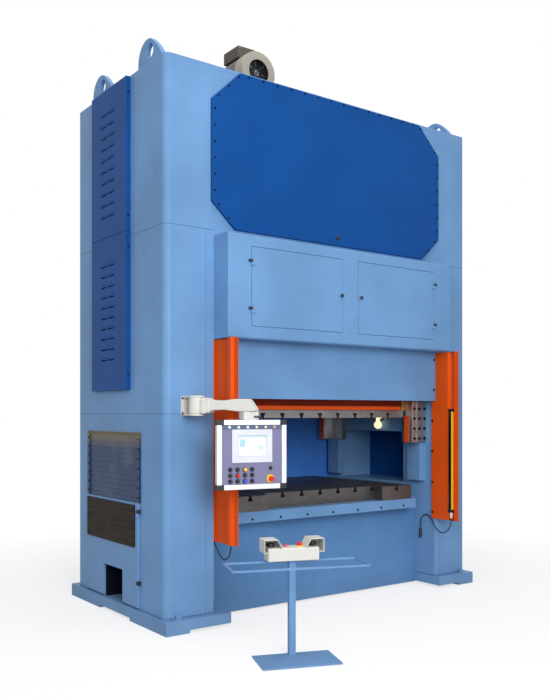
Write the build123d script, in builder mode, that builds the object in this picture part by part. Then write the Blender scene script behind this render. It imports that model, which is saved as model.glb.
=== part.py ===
"""Straight-side industrial press with a swing-arm control panel and a two-hand control stand.

Millimetres. +Z is up, the front of the press faces -Y, and the origin is on the floor in the
middle of the four anchor holes of the feet.
"""
import os
from math import cos, radians, sin

from build123d import *

os.makedirs("parts", exist_ok=True)

# Driving sizes of the frame
frame_width = 3510
frame_depth = 1720
frame_height = 4600
column_width = 452
column_corner_radius = 60
foot_height = 110
crown_bottom = 2350
crown_drop = 40
bolster_top = 1030
daylight = 670
stroke = 200

# Clearances and the one overrun that all cuts share
running_gap = 0.4
sheet_gap = 3
overrun = 5

# Places that several pieces share
column_outer = frame_width / 2
column_inner = column_outer - column_width
front = -frame_depth / 2
rear = frame_depth / 2
slide_bottom = bolster_top + daylight
crown_top = frame_height - crown_drop


def save(builder, name):
    """Label a finished piece and write it."""
    builder.part.label = name
    export_step(builder.part, f"parts/{name}.step")


def block(x, y, z, mode=Mode.ADD):
    """A box between two limits on each axis."""
    middle = ((x[0] + x[1]) / 2, (y[0] + y[1]) / 2, (z[0] + z[1]) / 2)
    with Locations(middle):
        Box(abs(x[1] - x[0]), abs(y[1] - y[0]), abs(z[1] - z[0]), mode=mode)


def sides(x, side):
    """Limits along X, mirrored for the left side (-1) or kept for the right side (1)."""
    return (side * x[0], side * x[1])


# Columns: welded box uprights with a feed window and a scrap tunnel through each
window_setback_share = 0.256
window_front = front + window_setback_share * frame_depth
window_length_share = 0.579
window_length = window_length_share * frame_depth
window_top = 1555
scrap_setback_share = 0.42
scrap_front = front + scrap_setback_share * frame_depth
scrap_length_share = 0.224
scrap_length = scrap_length_share * frame_depth
scrap_bottom = foot_height
scrap_top = 405
locker_depth = 150
locker_bottom = 450
locker_top = 960
locker_setback_share = 0.285
locker_front = front + locker_setback_share * frame_depth
locker_length_share = 0.523
locker_length = locker_length_share * frame_depth
gib_support_setback = 135
gib_support_front = front + gib_support_setback
gib_support_depth = 185
gib_support_reach = 70
gib_support_bottom = 1062
gib_support_top = 1450
window_y = (window_front, window_front + window_length)
scrap_y = (scrap_front, scrap_front + scrap_length)
scrap_z = (scrap_bottom, scrap_top)
locker_y = (locker_front, locker_front + locker_length)
locker_z = (locker_bottom, locker_top)
for column_name, side in (("left_column", -1), ("right_column", 1)):
    with BuildPart() as column:
        with BuildSketch(Plane.XY.offset(foot_height)):
            with Locations((side * (column_inner + column_outer) / 2, 0)):
                Rectangle(column_width, frame_depth)
            outer_corners = vertices().group_by(Axis.X)[-1 if side > 0 else 0]
            fillet(outer_corners, column_corner_radius)
        extrude(amount=frame_height - foot_height)
        column_x = sides((column_inner - overrun, column_outer + overrun), side)
        block(column_x, window_y, (bolster_top, window_top), Mode.SUBTRACT)
        block(column_x, scrap_y, (scrap_bottom - overrun, scrap_top), Mode.SUBTRACT)
        if side < 0:
            locker_x = sides((column_outer - locker_depth, column_outer + overrun), side)
            block(locker_x, locker_y, locker_z, Mode.SUBTRACT)
        for end in (-1, 1):
            support_y = (end * gib_support_front, end * (gib_support_front + gib_support_depth))
            support_x = sides((column_inner - gib_support_reach, column_inner), side)
            block(support_x, support_y, (gib_support_bottom, gib_support_top))
    save(column, column_name)

# Foot plates: thick plates under the columns, on machined pads at their corners
bed_setback = 280
base_band_proud = 12
foot_front_margin = 80
foot_side_margin = 30
left_foot_reach = 120
right_foot_reach = 15
pad_height = 25
pad_front_length = 215
pad_side_length = 640
anchor_hole_radius = 20
anchor_inset = 100
foot_front = front - foot_front_margin
foot_outer = column_outer + foot_side_margin
anchor_x = column_outer - anchor_inset
anchor_y = front - foot_front_margin / 2
toe_back = front + bed_setback - base_band_proud
with BuildPart() as foot_plates:
    for side, reach in ((-1, left_foot_reach), (1, right_foot_reach)):
        plate_z = (pad_height, foot_height)
        block(sides((column_inner, foot_outer), side), (foot_front, -foot_front), plate_z)
        for end in (-1, 1):
            toe_x = sides((column_inner - reach, column_inner + overrun), side)
            block(toe_x, (end * foot_front, end * toe_back), plate_z)
            pad_x = sides((foot_outer - pad_front_length, foot_outer), side)
            block(pad_x, (end * foot_front, end * (foot_front + pad_side_length)), (0, pad_height))
            with Locations((side * anchor_x, end * anchor_y, foot_height / 2)):
                Cylinder(anchor_hole_radius, foot_height + overrun, mode=Mode.SUBTRACT)
save(foot_plates, "foot_plates")

# Bed: the welded table between the columns, with the scrap tunnel right through it
bed_clearance = 15
bed_top = 895
base_band_height = 115
bed_y = (front + bed_setback, rear - bed_setback)
bed_x = (-column_inner, column_inner)
with BuildPart() as bed:
    block(bed_x, bed_y, (bed_clearance, bed_top))
    band_y = (bed_y[0] - base_band_proud, bed_y[1] + base_band_proud)
    block(bed_x, band_y, (bed_clearance, bed_clearance + base_band_height))
    tunnel_x = (-column_inner - overrun, column_inner + overrun)
    block(tunnel_x, scrap_y, scrap_z, Mode.SUBTRACT)
save(bed, "bed")

# Bolster: the T-slotted die plate on the bed, with wider ends
slot_pitch_share = 0.2033582
slot_count = 9
slot_neck = 28
slot_head = 48
slot_lip = 24
slot_depth = 46
bolster_side_room = 231
bolster_setback = 220
bolster_end_setback = 100
bolster_end_share = 0.3657
bolster_thickness = bolster_top - bed_top
bolster_half_width = column_inner - bolster_side_room
bolster_end_length = bolster_end_share * bolster_half_width
slot_pitch = slot_pitch_share * bolster_half_width


def slot_sketch(face_z, into):
    """T-slot openings in a row, cut from the face at face_z towards the plate's inside."""
    for index in range(slot_count):
        slot_x = (index - (slot_count - 1) / 2) * slot_pitch
        with Locations((slot_x, face_z + into * slot_depth / 2)):
            Rectangle(slot_neck, slot_depth, mode=Mode.SUBTRACT)
        with Locations((slot_x, face_z + into * (slot_lip + slot_depth) / 2)):
            Rectangle(slot_head, slot_depth - slot_lip, mode=Mode.SUBTRACT)


bolster_front = front + bolster_setback
bolster_end_front = front + bolster_end_setback
with BuildPart() as bolster:
    with BuildSketch(Plane.XZ):
        with Locations((0, bolster_top - bolster_thickness / 2)):
            Rectangle(2 * bolster_half_width, bolster_thickness)
        slot_sketch(bolster_top, -1)
    extrude(amount=-bolster_end_front, both=True)
    middle_x = (bolster_end_length - bolster_half_width, bolster_half_width - bolster_end_length)
    for end in (-1, 1):
        notch_y = (end * bolster_front, end * (bolster_end_front - overrun))
        block(middle_x, notch_y, (bed_top - overrun, bolster_top + overrun), Mode.SUBTRACT)
save(bolster, "bolster")

# Bolster rails: angle rails bolted along the front and back of the bed under the bolster
rail_overhang = 71
rail_height = 95
rail_wall = 25
rail_front = front + bolster_end_setback
rail_half_length = bolster_half_width + rail_overhang
with BuildPart() as bolster_rails:
    for end in (-1, 1):
        rail_y = (end * rail_front, end * bed_y[0])
        block((-rail_half_length, rail_half_length), rail_y, (bed_top - rail_wall, bed_top))
        lip_y = (end * rail_front, end * (rail_front + rail_wall))
        block((-rail_half_length, rail_half_length), lip_y, (bed_top - rail_height, bed_top))
save(bolster_rails, "bolster_rails")

# Eccentric drive places: two meshing gears side by side, each on its own pin
eccentric_throw = stroke / 2
gear_teeth = 42
gear_module = 22
gear_face = 120
gear_pitch_radius = gear_teeth * gear_module / 2
gear_drop = 600
gear_z = crown_top - gear_drop
eccentric_radius = 190
eccentric_face = 150
pin_radius = 75
pinion_teeth = 10
pinion_pitch_radius = pinion_teeth * gear_module / 2
pinion_angle = 60
pinion_distance = gear_pitch_radius + pinion_pitch_radius
pinion_x = -gear_pitch_radius + pinion_distance * cos(radians(pinion_angle))
pinion_z = gear_z - pinion_distance * sin(radians(pinion_angle))
shaft_radius = 60

# Crown: the welded head between the columns, open at the front for the gears
crown_depth_share = 0.7675
gear_case_room = 54
gear_case_drop = 670
gear_case_roof = 70
gear_case_back = 240
rod_well_half_width = 130
rod_well_half_depth = 110
crown_depth = crown_depth_share * frame_depth
crown_back = front + crown_depth
gear_case_half_width = 2 * gear_pitch_radius + gear_module + gear_case_room
gear_case_z = (gear_z - gear_case_drop, crown_top - gear_case_roof)
bore_length = 2 * (crown_back - gear_case_back) + overrun
with BuildPart() as crown:
    block((-column_inner, column_inner), (front, crown_back), (crown_bottom, crown_top))
    gear_case_x = (-gear_case_half_width, gear_case_half_width)
    block(gear_case_x, (front - overrun, gear_case_back), gear_case_z, Mode.SUBTRACT)
    for side in (-1, 1):
        well_inner = gear_pitch_radius - rod_well_half_width
        well_x = sides((well_inner, well_inner + 2 * rod_well_half_width), side)
        well_y = (-rod_well_half_depth, rod_well_half_depth)
        block(well_x, well_y, (crown_bottom - overrun, gear_case_z[0] + overrun), Mode.SUBTRACT)
        with Locations(Location((side * gear_pitch_radius, crown_back, gear_z), (90, 0, 0))):
            Cylinder(pin_radius + running_gap, bore_length, mode=Mode.SUBTRACT)
    with Locations(Location((pinion_x, crown_back, pinion_z), (90, 0, 0))):
        Cylinder(shaft_radius + running_gap, bore_length, mode=Mode.SUBTRACT)
save(crown, "crown")

# Crown cover: the bolted eight-sided front plate
cover_lap = 30
cover_bottom = 3267
cover_rise = 20
cover_thickness = 30
cover_top_chamfer = (275, 263)
cover_bottom_chamfer = (228, 210)
cover_edge_chamfer = 4
cover_half_width = column_inner + cover_lap
cover_top = crown_top + cover_rise
with BuildPart() as crown_cover:
    with BuildSketch(Plane.XZ.offset(-front)):
        with BuildLine():
            Polyline(
                (cover_bottom_chamfer[0] - cover_half_width, cover_bottom),
                (cover_half_width - cover_bottom_chamfer[0], cover_bottom),
                (cover_half_width, cover_bottom + cover_bottom_chamfer[1]),
                (cover_half_width, cover_top - cover_top_chamfer[1]),
                (cover_half_width - cover_top_chamfer[0], cover_top),
                (cover_top_chamfer[0] - cover_half_width, cover_top),
                (-cover_half_width, cover_top - cover_top_chamfer[1]),
                (-cover_half_width, cover_bottom + cover_bottom_chamfer[1]),
                close=True,
            )
        make_face()
    extrude(amount=cover_thickness)
    chamfer(crown_cover.faces().sort_by(Axis.Y)[0].edges(), cover_edge_chamfer)
save(crown_cover, "crown_cover")

# Crown cabinet: the sheet housing in front of the crown, with two door openings
cabinet_depth = 211
cabinet_top = 3200
cabinet_wall = 12
cabinet_edge_radius = 20
door_outer_margin = 232
door_height = 646
door_bottom = 2458
door_inset = 92
door_thickness = 22
door_skin = 4
door_frame = 30
cabinet_front = front - cabinet_depth
cabinet_half_width = column_inner - sheet_gap
door_width = cabinet_half_width - door_inset - door_outer_margin
door_z = (door_bottom, door_bottom + door_height)
door_x = (door_inset, door_inset + door_width)
with BuildPart() as crown_cabinet:
    with BuildSketch(Plane.YZ.offset(-cabinet_half_width)):
        with Locations(((front + cabinet_front) / 2, (crown_bottom + cabinet_top) / 2)):
            Rectangle(cabinet_depth, cabinet_top - crown_bottom)
        fillet(vertices().group_by(Axis.X)[0], cabinet_edge_radius)
    extrude(amount=2 * cabinet_half_width)
    inside_x = (cabinet_wall - cabinet_half_width, cabinet_half_width - cabinet_wall)
    inside_z = (crown_bottom + cabinet_wall, cabinet_top - cabinet_wall)
    block(inside_x, (cabinet_front + cabinet_wall, front + overrun), inside_z, Mode.SUBTRACT)
    for side in (-1, 1):
        opening_x = sides((door_x[0] - sheet_gap, door_x[1] + sheet_gap), side)
        opening_z = (door_z[0] - sheet_gap, door_z[1] + sheet_gap)
        opening_y = (cabinet_front - overrun, cabinet_front + cabinet_wall + overrun)
        block(opening_x, opening_y, opening_z, Mode.SUBTRACT)
save(crown_cabinet, "crown_cabinet")

# Crown doors: folded sheet doors, each hung on two black hinges with a lock at the free edge
hinge_height = 48
hinge_plate = 32
hinge_thickness = 9
hinge_radius = 8
hinge_rise_shares = (0.20, 0.80)
lock_radius = 16
lock_proud = 7
lock_inset = 22
hinge_axis_y = cabinet_front - hinge_thickness
hinge_axis_x = door_x[1] + sheet_gap / 2


def hinge_levels(z, shares):
    """Heights of the two hinges on a door between the limits z."""
    return [z[0] + share * (z[1] - z[0]) for share in shares]


for door_name, side in (("left_crown_door", -1), ("right_crown_door", 1)):
    with BuildPart() as crown_door:
        block(sides(door_x, side), (cabinet_front, cabinet_front + door_thickness), door_z)
        hollow_x = sides((door_x[0] + door_frame, door_x[1] - door_frame), side)
        hollow_z = (door_z[0] + door_frame, door_z[1] - door_frame)
        hollow_y = (cabinet_front + door_skin, cabinet_front + door_thickness + overrun)
        block(hollow_x, hollow_y, hollow_z, Mode.SUBTRACT)
        for level in hinge_levels(door_z, hinge_rise_shares):
            plate_x = sides((hinge_axis_x - hinge_plate, hinge_axis_x), side)
            knuckle_z = (level - hinge_height / 2, level - running_gap)
            block(plate_x, (cabinet_front - hinge_thickness, cabinet_front), knuckle_z)
            with Locations((side * hinge_axis_x, hinge_axis_y, (knuckle_z[0] + knuckle_z[1]) / 2)):
                Cylinder(hinge_radius, knuckle_z[1] - knuckle_z[0])
        lock_place = (side * (door_x[0] + lock_inset), cabinet_front, (door_z[0] + door_z[1]) / 2)
        with Locations(Location(lock_place, (90, 0, 0))):
            Cylinder(lock_radius, 2 * lock_proud)
    save(crown_door, door_name)

# Lifting lugs: four plates welded on the column tops, each with an eye
lug_length = 490
lug_height = 235
lug_thickness = 45
lug_eye_radius = 62
lug_crown_radius = 115
lug_inset = 58
lug_places_share = (0.19, 0.725)
lug_x = column_outer - lug_inset
with BuildPart() as lifting_lugs:
    for side in (-1, 1):
        for share in lug_places_share:
            with BuildSketch(Plane.YZ.offset(side * lug_x - lug_thickness / 2)):
                lug_y = front + share * frame_depth
                eye_z = frame_height + lug_height - lug_crown_radius
                with Locations((lug_y, eye_z)):
                    Circle(lug_crown_radius)
                with BuildLine():
                    Polyline(
                        (lug_y - lug_length / 2, frame_height),
                        (lug_y + lug_length / 2, frame_height),
                        (lug_y + lug_crown_radius, eye_z),
                        (lug_y - lug_crown_radius, eye_z),
                        close=True,
                    )
                make_face()
                with Locations((lug_y, eye_z)):
                    Circle(lug_eye_radius, mode=Mode.SUBTRACT)
            extrude(amount=lug_thickness)
save(lifting_lugs, "lifting_lugs")

# Louvre covers: two folded covers one above the other on the outer side of each column
louvre_setback_share = 0.349
louvre_front = front + louvre_setback_share * frame_depth
louvre_length_share = 0.41
louvre_length = louvre_length_share * frame_depth
louvre_split = 3286
louvre_drop = 8
louvre_top = frame_height - louvre_drop
louvre_bottom = 1942
louvre_depth = 42
louvre_sheet = 4
slit_rows = 10
slit_columns_share = (0.37, 0.575)
slit_length = 120
slit_height = 26
slit_depth = 14
upper_slits_share = (0.135, 0.825)
lower_slits_share = (0.195, 0.81)
louvre_y = (louvre_front, louvre_front + louvre_length)
shell_face = column_outer + louvre_depth
cover_rows = (
    (louvre_split + sheet_gap / 2, louvre_top, upper_slits_share),
    (louvre_bottom, louvre_split - sheet_gap / 2, lower_slits_share),
)
with BuildPart() as louvre_covers:
    for cover_low, cover_high, slits_share in cover_rows:
        for side in (-1, 1):
            shell_x = sides((column_outer, shell_face), side)
            block(shell_x, louvre_y, (cover_low, cover_high))
            hollow_x = sides((column_outer - overrun, shell_face - louvre_sheet), side)
            hollow_y = (louvre_y[0] + louvre_sheet, louvre_y[1] - louvre_sheet)
            hollow_z = (cover_low + louvre_sheet, cover_high - louvre_sheet)
            block(hollow_x, hollow_y, hollow_z, Mode.SUBTRACT)
            for row in range(slit_rows):
                row_share = slits_share[0] + (slits_share[1] - slits_share[0]) * row / (slit_rows - 1)
                slit_z = cover_low + row_share * (cover_high - cover_low)
                for column_share in slit_columns_share:
                    slit_y = louvre_y[1] - column_share * louvre_length
                    slit_x = sides((shell_face - slit_depth, shell_face + overrun), side)
                    slit_limits = (slit_y - slit_length / 2, slit_y + slit_length / 2)
                    block(slit_x, slit_limits, (slit_z, slit_z + slit_height), Mode.SUBTRACT)
save(louvre_covers, "louvre_covers")

# Window guards: slatted guards screwed over the feed window of each column
guard_margin = 30
guard_post = 50
guard_thickness = 14
slat_count = 13
slat_height = 38
slat_thickness = 3
guard_y = (window_y[0] - guard_margin, window_y[1] + guard_margin)
guard_z = (bolster_top - guard_margin, window_top + guard_margin)
with BuildPart() as window_guards:
    for side in (-1, 1):
        for post_y in ((guard_y[0], guard_y[0] + guard_post), (guard_y[1] - guard_post, guard_y[1])):
            block(sides((column_outer, column_outer + guard_thickness), side), post_y, guard_z)
        slat_pitch = (guard_z[1] - guard_z[0]) / slat_count
        for slat in range(slat_count):
            slat_z = guard_z[0] + slat * slat_pitch
            slat_x = sides((column_outer + slat_thickness, column_outer + 2 * slat_thickness), side)
            slat_y = (guard_y[0] + guard_post / 2, guard_y[1] - guard_post / 2)
            block(slat_x, slat_y, (slat_z, slat_z + slat_height))
save(window_guards, "window_guards")

# Side door: the hinged door below the left feed window, with the scrap opening and a dark board
side_door_setback_share = 0.2535
side_door_front = front + side_door_setback_share * frame_depth
side_door_length_share = 0.595
side_door_length = side_door_length_share * frame_depth
side_door_lift = 20
side_door_bottom = foot_height + side_door_lift
side_door_thickness = 18
side_door_skin = 5
side_door_frame = 40
board_height = 372
board_thickness = 10
board_margin = 18
side_hinge_height = 60
side_hinge_plate = 26
side_hinge_shares = (0.22, 0.905)
side_door_top = guard_z[0] - sheet_gap
side_door_y = (side_door_front, side_door_front + side_door_length)
side_door_z = (side_door_bottom, side_door_top)
side_axis_x = -column_outer - side_door_thickness - hinge_radius
side_axis_y = side_door_y[0] - sheet_gap
with BuildPart() as left_side_door:
    block((-column_outer - side_door_thickness, -column_outer), side_door_y, side_door_z)
    back_x = (side_door_skin - column_outer - side_door_thickness, overrun - column_outer)
    back_y = (side_door_y[0] + side_door_frame, side_door_y[1] - side_door_frame)
    back_z = (scrap_top + side_door_frame, side_door_top - side_door_frame)
    block(back_x, back_y, back_z, Mode.SUBTRACT)
    through_x = (-column_outer - side_door_thickness - overrun, overrun - column_outer)
    block(through_x, scrap_y, (side_door_bottom - overrun, scrap_top), Mode.SUBTRACT)
    for level in hinge_levels(side_door_z, side_hinge_shares):
        leaf_x = (side_axis_x, -column_outer - side_door_thickness)
        leaf_z = (level - side_hinge_height / 2, level - running_gap)
        block(leaf_x, (side_axis_y, side_axis_y + side_hinge_plate), leaf_z)
        with Locations((side_axis_x, side_axis_y, (leaf_z[0] + leaf_z[1]) / 2)):
            Cylinder(hinge_radius, leaf_z[1] - leaf_z[0])
save(left_side_door, "left_side_door")

# Hinges: the fixed halves of the crown doors' and the side door's hinges
with BuildPart() as door_hinges:
    for side in (-1, 1):
        for level in hinge_levels(door_z, hinge_rise_shares):
            plate_x = sides((hinge_axis_x, hinge_axis_x + hinge_plate), side)
            knuckle_z = (level, level + hinge_height / 2)
            block(plate_x, (cabinet_front - hinge_thickness, cabinet_front), knuckle_z)
            with Locations((side * hinge_axis_x, hinge_axis_y, level + hinge_height / 4)):
                Cylinder(hinge_radius, hinge_height / 2)
    for level in hinge_levels(side_door_z, side_hinge_shares):
        leaf_y = (side_axis_y - side_hinge_plate, side_axis_y - hinge_radius / 2)
        leaf_z = (level, level + side_hinge_height / 2)
        block((side_axis_x, -column_outer), leaf_y, leaf_z)
        with Locations((side_axis_x, side_axis_y, (leaf_z[0] + leaf_z[1]) / 2)):
            Cylinder(hinge_radius, leaf_z[1] - leaf_z[0])
save(door_hinges, "door_hinges")

with BuildPart() as scrap_board:
    board_x = (-column_outer - side_door_thickness - board_thickness, -column_outer - side_door_thickness)
    board_y = (side_door_y[0] + side_hinge_plate + board_margin, side_door_y[1] - board_margin)
    block(board_x, board_y, (side_door_top - board_height, side_door_top - board_margin))
save(scrap_board, "scrap_board")

# Gibs: L-shaped steel ways on the inner column faces that guide the slide's four corners
gib_setback = 110
gib_front = front + gib_setback
gib_bottom = gib_support_top
gib_arm = 200
gib_arm_depth = 110
gib_back_depth = 270
gib_wall = 80
gib_x = (column_inner - gib_arm, column_inner)
gib_z = (gib_bottom, crown_bottom)
with BuildPart() as gibs:
    for side in (-1, 1):
        for end in (-1, 1):
            arm_y = (end * gib_front, end * (gib_front + gib_arm_depth))
            block(sides(gib_x, side), arm_y, gib_z)
            wall_y = (end * gib_front, end * (gib_front + gib_back_depth))
            block(sides((column_inner - gib_wall, column_inner), side), wall_y, gib_z)
save(gibs, "gibs")

# Slide: the hollow ram body with guide ears at its corners and a T-slotted face plate below
slide_side_room = 243
slide_setback = 230
slide_plate_thickness = 73
slide_top_room = 40
ear_depth = 150
liner_thickness = 12
rod_pocket_half_width = 115
rod_foot_depth = 260
slide_front = front + slide_setback
slide_half_width = column_inner - slide_side_room
slide_z = (slide_bottom + slide_plate_thickness, crown_bottom - slide_top_room)
ear_front = gib_front + gib_arm_depth + liner_thickness + running_gap
ear_reach = column_inner - gib_wall - liner_thickness - running_gap
with BuildPart() as slide:
    block((-slide_half_width, slide_half_width), (slide_front, -slide_front), slide_z)
    for side in (-1, 1):
        for end in (-1, 1):
            ear_x = sides((slide_half_width - overrun, ear_reach), side)
            block(ear_x, (end * ear_front, end * (ear_front + ear_depth)), slide_z)
        pocket_inner = gear_pitch_radius - rod_pocket_half_width
        pocket_x = sides((pocket_inner, pocket_inner + 2 * rod_pocket_half_width), side)
        pocket_y = (-rod_well_half_depth, rod_well_half_depth)
        block(pocket_x, pocket_y, (slide_z[1] - rod_foot_depth, slide_z[1] + overrun), Mode.SUBTRACT)
save(slide, "slide")

plate_overhang = 25
plate_half_width = slide_half_width + plate_overhang
with BuildPart() as slide_plate:
    with BuildSketch(Plane.XZ):
        with Locations((0, slide_bottom + slide_plate_thickness / 2)):
            Rectangle(2 * plate_half_width, slide_plate_thickness)
        slot_sketch(slide_bottom, 1)
    extrude(amount=-bolster_front, both=True)
save(slide_plate, "slide_plate")

# Slide liners: bronze wear plates on the two working faces of each guide ear
with BuildPart() as slide_liners:
    for side in (-1, 1):
        for end in (-1, 1):
            face_y = (end * (ear_front - liner_thickness), end * ear_front)
            block(sides((slide_half_width, ear_reach), side), face_y, slide_z)
            face_x = sides((ear_reach, ear_reach + liner_thickness), side)
            block(face_x, (end * ear_front, end * (ear_front + ear_depth)), slide_z)
save(slide_liners, "slide_liners")

# Guards: folded sheet wings beside the die space, each with a channel for a light curtain
wing_gap = 23
wing_x = column_inner - wing_gap
wing_sheet = 5
wing_setback = 20
wing_back = front + wing_setback
wing_reach = 333
wing_front = front - wing_reach
wing_bottom = 690
wing_top = crown_bottom - sheet_gap
channel_reach = 276
channel_front = front - channel_reach
channel_offset = 196
channel_back = front - channel_offset
channel_depth = 26
for wing_name, side in (("left_guard", -1), ("right_guard", 1)):
    with BuildPart() as wing:
        with BuildSketch(Plane.XY.offset(wing_bottom)):
            with BuildLine():
                Polyline(
                    (side * column_inner, wing_back),
                    (side * wing_x, wing_back),
                    (side * wing_x, channel_back),
                    (side * (wing_x + channel_depth), channel_back - channel_depth / 2),
                    (side * (wing_x + channel_depth), channel_front + channel_depth / 2),
                    (side * wing_x, channel_front),
                    (side * wing_x, wing_front),
                    (side * (wing_x + wing_sheet), wing_front),
                    (side * (wing_x + wing_sheet), channel_front - wing_sheet / 2),
                    (side * (wing_x + channel_depth + wing_sheet), channel_front + channel_depth / 2),
                    (side * (wing_x + channel_depth + wing_sheet), channel_back - channel_depth / 2),
                    (side * (wing_x + wing_sheet), channel_back + wing_sheet / 2),
                    (side * (wing_x + wing_sheet), wing_back - wing_sheet),
                    (side * column_inner, wing_back - wing_sheet),
                    close=True,
                )
            make_face()
        extrude(amount=wing_top - wing_bottom)
    save(wing, wing_name)

# Slide cover: the fixed front sheet between the guards, folded back along its lower edge
slide_cover_reach = 35
slide_cover_front = front - slide_cover_reach
slide_cover_sheet = 8
slide_cover_bottom = 1866
slide_cover_return = 60
slide_cover_y = (slide_cover_front, slide_cover_front + slide_cover_sheet)
with BuildPart() as slide_cover:
    cover_x = (-wing_x, wing_x)
    block(cover_x, slide_cover_y, (slide_cover_bottom, crown_bottom))
    return_y = (slide_cover_front, slide_cover_front + slide_cover_return)
    block(cover_x, return_y, (slide_cover_bottom, slide_cover_bottom + slide_cover_sheet))
save(slide_cover, "slide_cover")

# Light curtains: safety bars that face each other across the die space
curtain_length = 1012
curtain_bottom = 774
curtain_width = 46
curtain_depth = 40
curtain_edge = 5
plug_radius = 11
plug_length = 62
curtain_y = (channel_front + channel_back) / 2
curtain_x = wing_x + channel_depth - curtain_depth / 2
with BuildPart() as light_curtains:
    for side in (-1, 1):
        with BuildSketch(Plane.XY.offset(curtain_bottom)):
            with Locations((side * curtain_x, curtain_y)):
                RectangleRounded(curtain_depth, curtain_width, curtain_edge)
        extrude(amount=curtain_length)
        with BuildSketch(Plane.XY.offset(curtain_bottom - plug_length)):
            with Locations((side * curtain_x, curtain_y)):
                Circle(plug_radius)
        extrude(amount=plug_length)
save(light_curtains, "light_curtains")

# Curtain cords: short leads from each light curtain to a socket on the inner column face
cord_diameter = 11
socket_height = 90
socket_radius = 14
socket_depth = 34
socket_setback = 178
socket_y = front + socket_setback
socket_bottom = 480
cord_x = curtain_x
cord_bottom = curtain_bottom - plug_length
socket_x = column_inner - socket_depth / 2
cord_steps = (
    (0, 0, 0),
    (0, 0, -40),
    (-2, 18, -90),
    (-4, 52, -132),
    (-6, 106, -156),
    (-8, 164, -140),
    (-6, 212, -96),
    (-4, 248, -44),
    (-2, 290, 0),
)
loop_steps = ((-70, 10), (-20, -18), (0, -72))
cord_route = [(cord_x + x, curtain_y + y, cord_bottom + z) for x, y, z in cord_steps]
cord_route += [(socket_x, socket_y + y, cord_bottom + z) for y, z in loop_steps]
cord_route += [(socket_x, socket_y, socket_bottom + socket_height)]
bend_reach_share = 0.45


def cord_radii(points):
    """Bend radius at each inner point, as large as its two runs leave room for."""
    radii = []
    for before, here, after in zip(points, points[1:], points[2:]):
        run_in = Vector(*here) - Vector(*before)
        run_out = Vector(*after) - Vector(*here)
        half_turn = radians(run_in.get_angle(run_out)) / 2
        shorter = min(run_in.length, run_out.length)
        radii.append(bend_reach_share * shorter * cos(half_turn) / sin(half_turn))
    return radii


for cord_name, side in (("left_curtain_cord", -1), ("right_curtain_cord", 1)):
    route = [(side * x, y, z) for x, y, z in cord_route]
    radii = cord_radii(route)
    print(cord_name, "bend radii", [round(radius) for radius in radii])
    with BuildPart() as cord:
        with BuildLine() as cord_path:
            FilletPolyline(*route, radius=radii)
        with BuildSketch(Plane(origin=route[0], z_dir=(0, 0, -1))):
            Circle(cord_diameter / 2)
        sweep(path=cord_path.wires()[0])
    print(cord_name, "length", round(cord_path.wires()[0].length), "volume", round(cord.part.volume))
    save(cord, cord_name)

with BuildPart() as cord_sockets:
    for side in (-1, 1):
        with BuildSketch(Plane.XY.offset(socket_bottom)):
            with Locations((side * socket_x, socket_y)):
                Circle(socket_radius)
        extrude(amount=socket_height)
        pad_x = sides((socket_x, column_inner), side)
        pad_y = (socket_y - socket_radius / 2, socket_y + socket_radius / 2)
        block(pad_x, pad_y, (socket_bottom, socket_bottom + socket_height / 2))
save(cord_sockets, "cord_sockets")

# Rear guard: framed sheet doors, bolted shut, that close the back between the columns
rear_guard_inset = 70
rear_guard_depth = 30
rear_guard_sheet = 4
rear_guard_frame = 60
rear_guard_y = (rear - rear_guard_inset, rear - rear_guard_inset + rear_guard_depth)
rear_guard_z = (bed_top, crown_bottom - sheet_gap)
with BuildPart() as rear_guard:
    for side in (-1, 1):
        leaf_x = sides((sheet_gap / 2, column_inner), side)
        block(leaf_x, rear_guard_y, rear_guard_z)
        hollow_x = sides((sheet_gap + rear_guard_frame, column_inner - rear_guard_frame), side)
        hollow_y = (rear_guard_y[0] + rear_guard_sheet, rear_guard_y[1] + overrun)
        hollow_z = (rear_guard_z[0] + rear_guard_frame, rear_guard_z[1] - rear_guard_frame)
        block(hollow_x, hollow_y, hollow_z, Mode.SUBTRACT)
save(rear_guard, "rear_guard")

# Die lamps: a lamp on a short bracket on the inner face of each column
lamp_setback_share = 0.442
lamp_y = front + lamp_setback_share * frame_depth
lamp_z = 1620
lamp_radius = 42
lamp_reach = 60
lamp_neck_radius = 20
lamp_neck_length = 60
with BuildPart() as die_lamps:
    for side in (-1, 1):
        lamp_x = column_inner - lamp_reach
        with Locations((side * lamp_x, lamp_y, lamp_z)):
            Sphere(lamp_radius)
        with Locations((side * lamp_x, lamp_y, lamp_z + lamp_radius + lamp_neck_length / 4)):
            Cylinder(lamp_neck_radius, lamp_neck_length)
        arm_z = lamp_z + lamp_radius + lamp_neck_length / 2
        arm_y = (lamp_y - lamp_neck_radius, lamp_y + lamp_neck_radius)
        block(sides((lamp_x, column_inner), side), arm_y, (arm_z, arm_z + lamp_neck_radius))
save(die_lamps, "die_lamps")

# Gears: an eccentric cast in one with each large gear, and the pinion that drives the left one
tooth_tip_share = 0.13
tooth_root_share = 0.27
gear_front = eccentric_face / 2 + overrun
gear_hole_radius = 95
gear_hole_count = 6
gear_hole_ring_share = 0.66
tooth_pitch = 360 / gear_teeth
left_phase = -pinion_angle
right_phase = 180 + pinion_angle + tooth_pitch / 2
pinion_phase = 180 - pinion_angle + 180 / pinion_teeth


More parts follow.
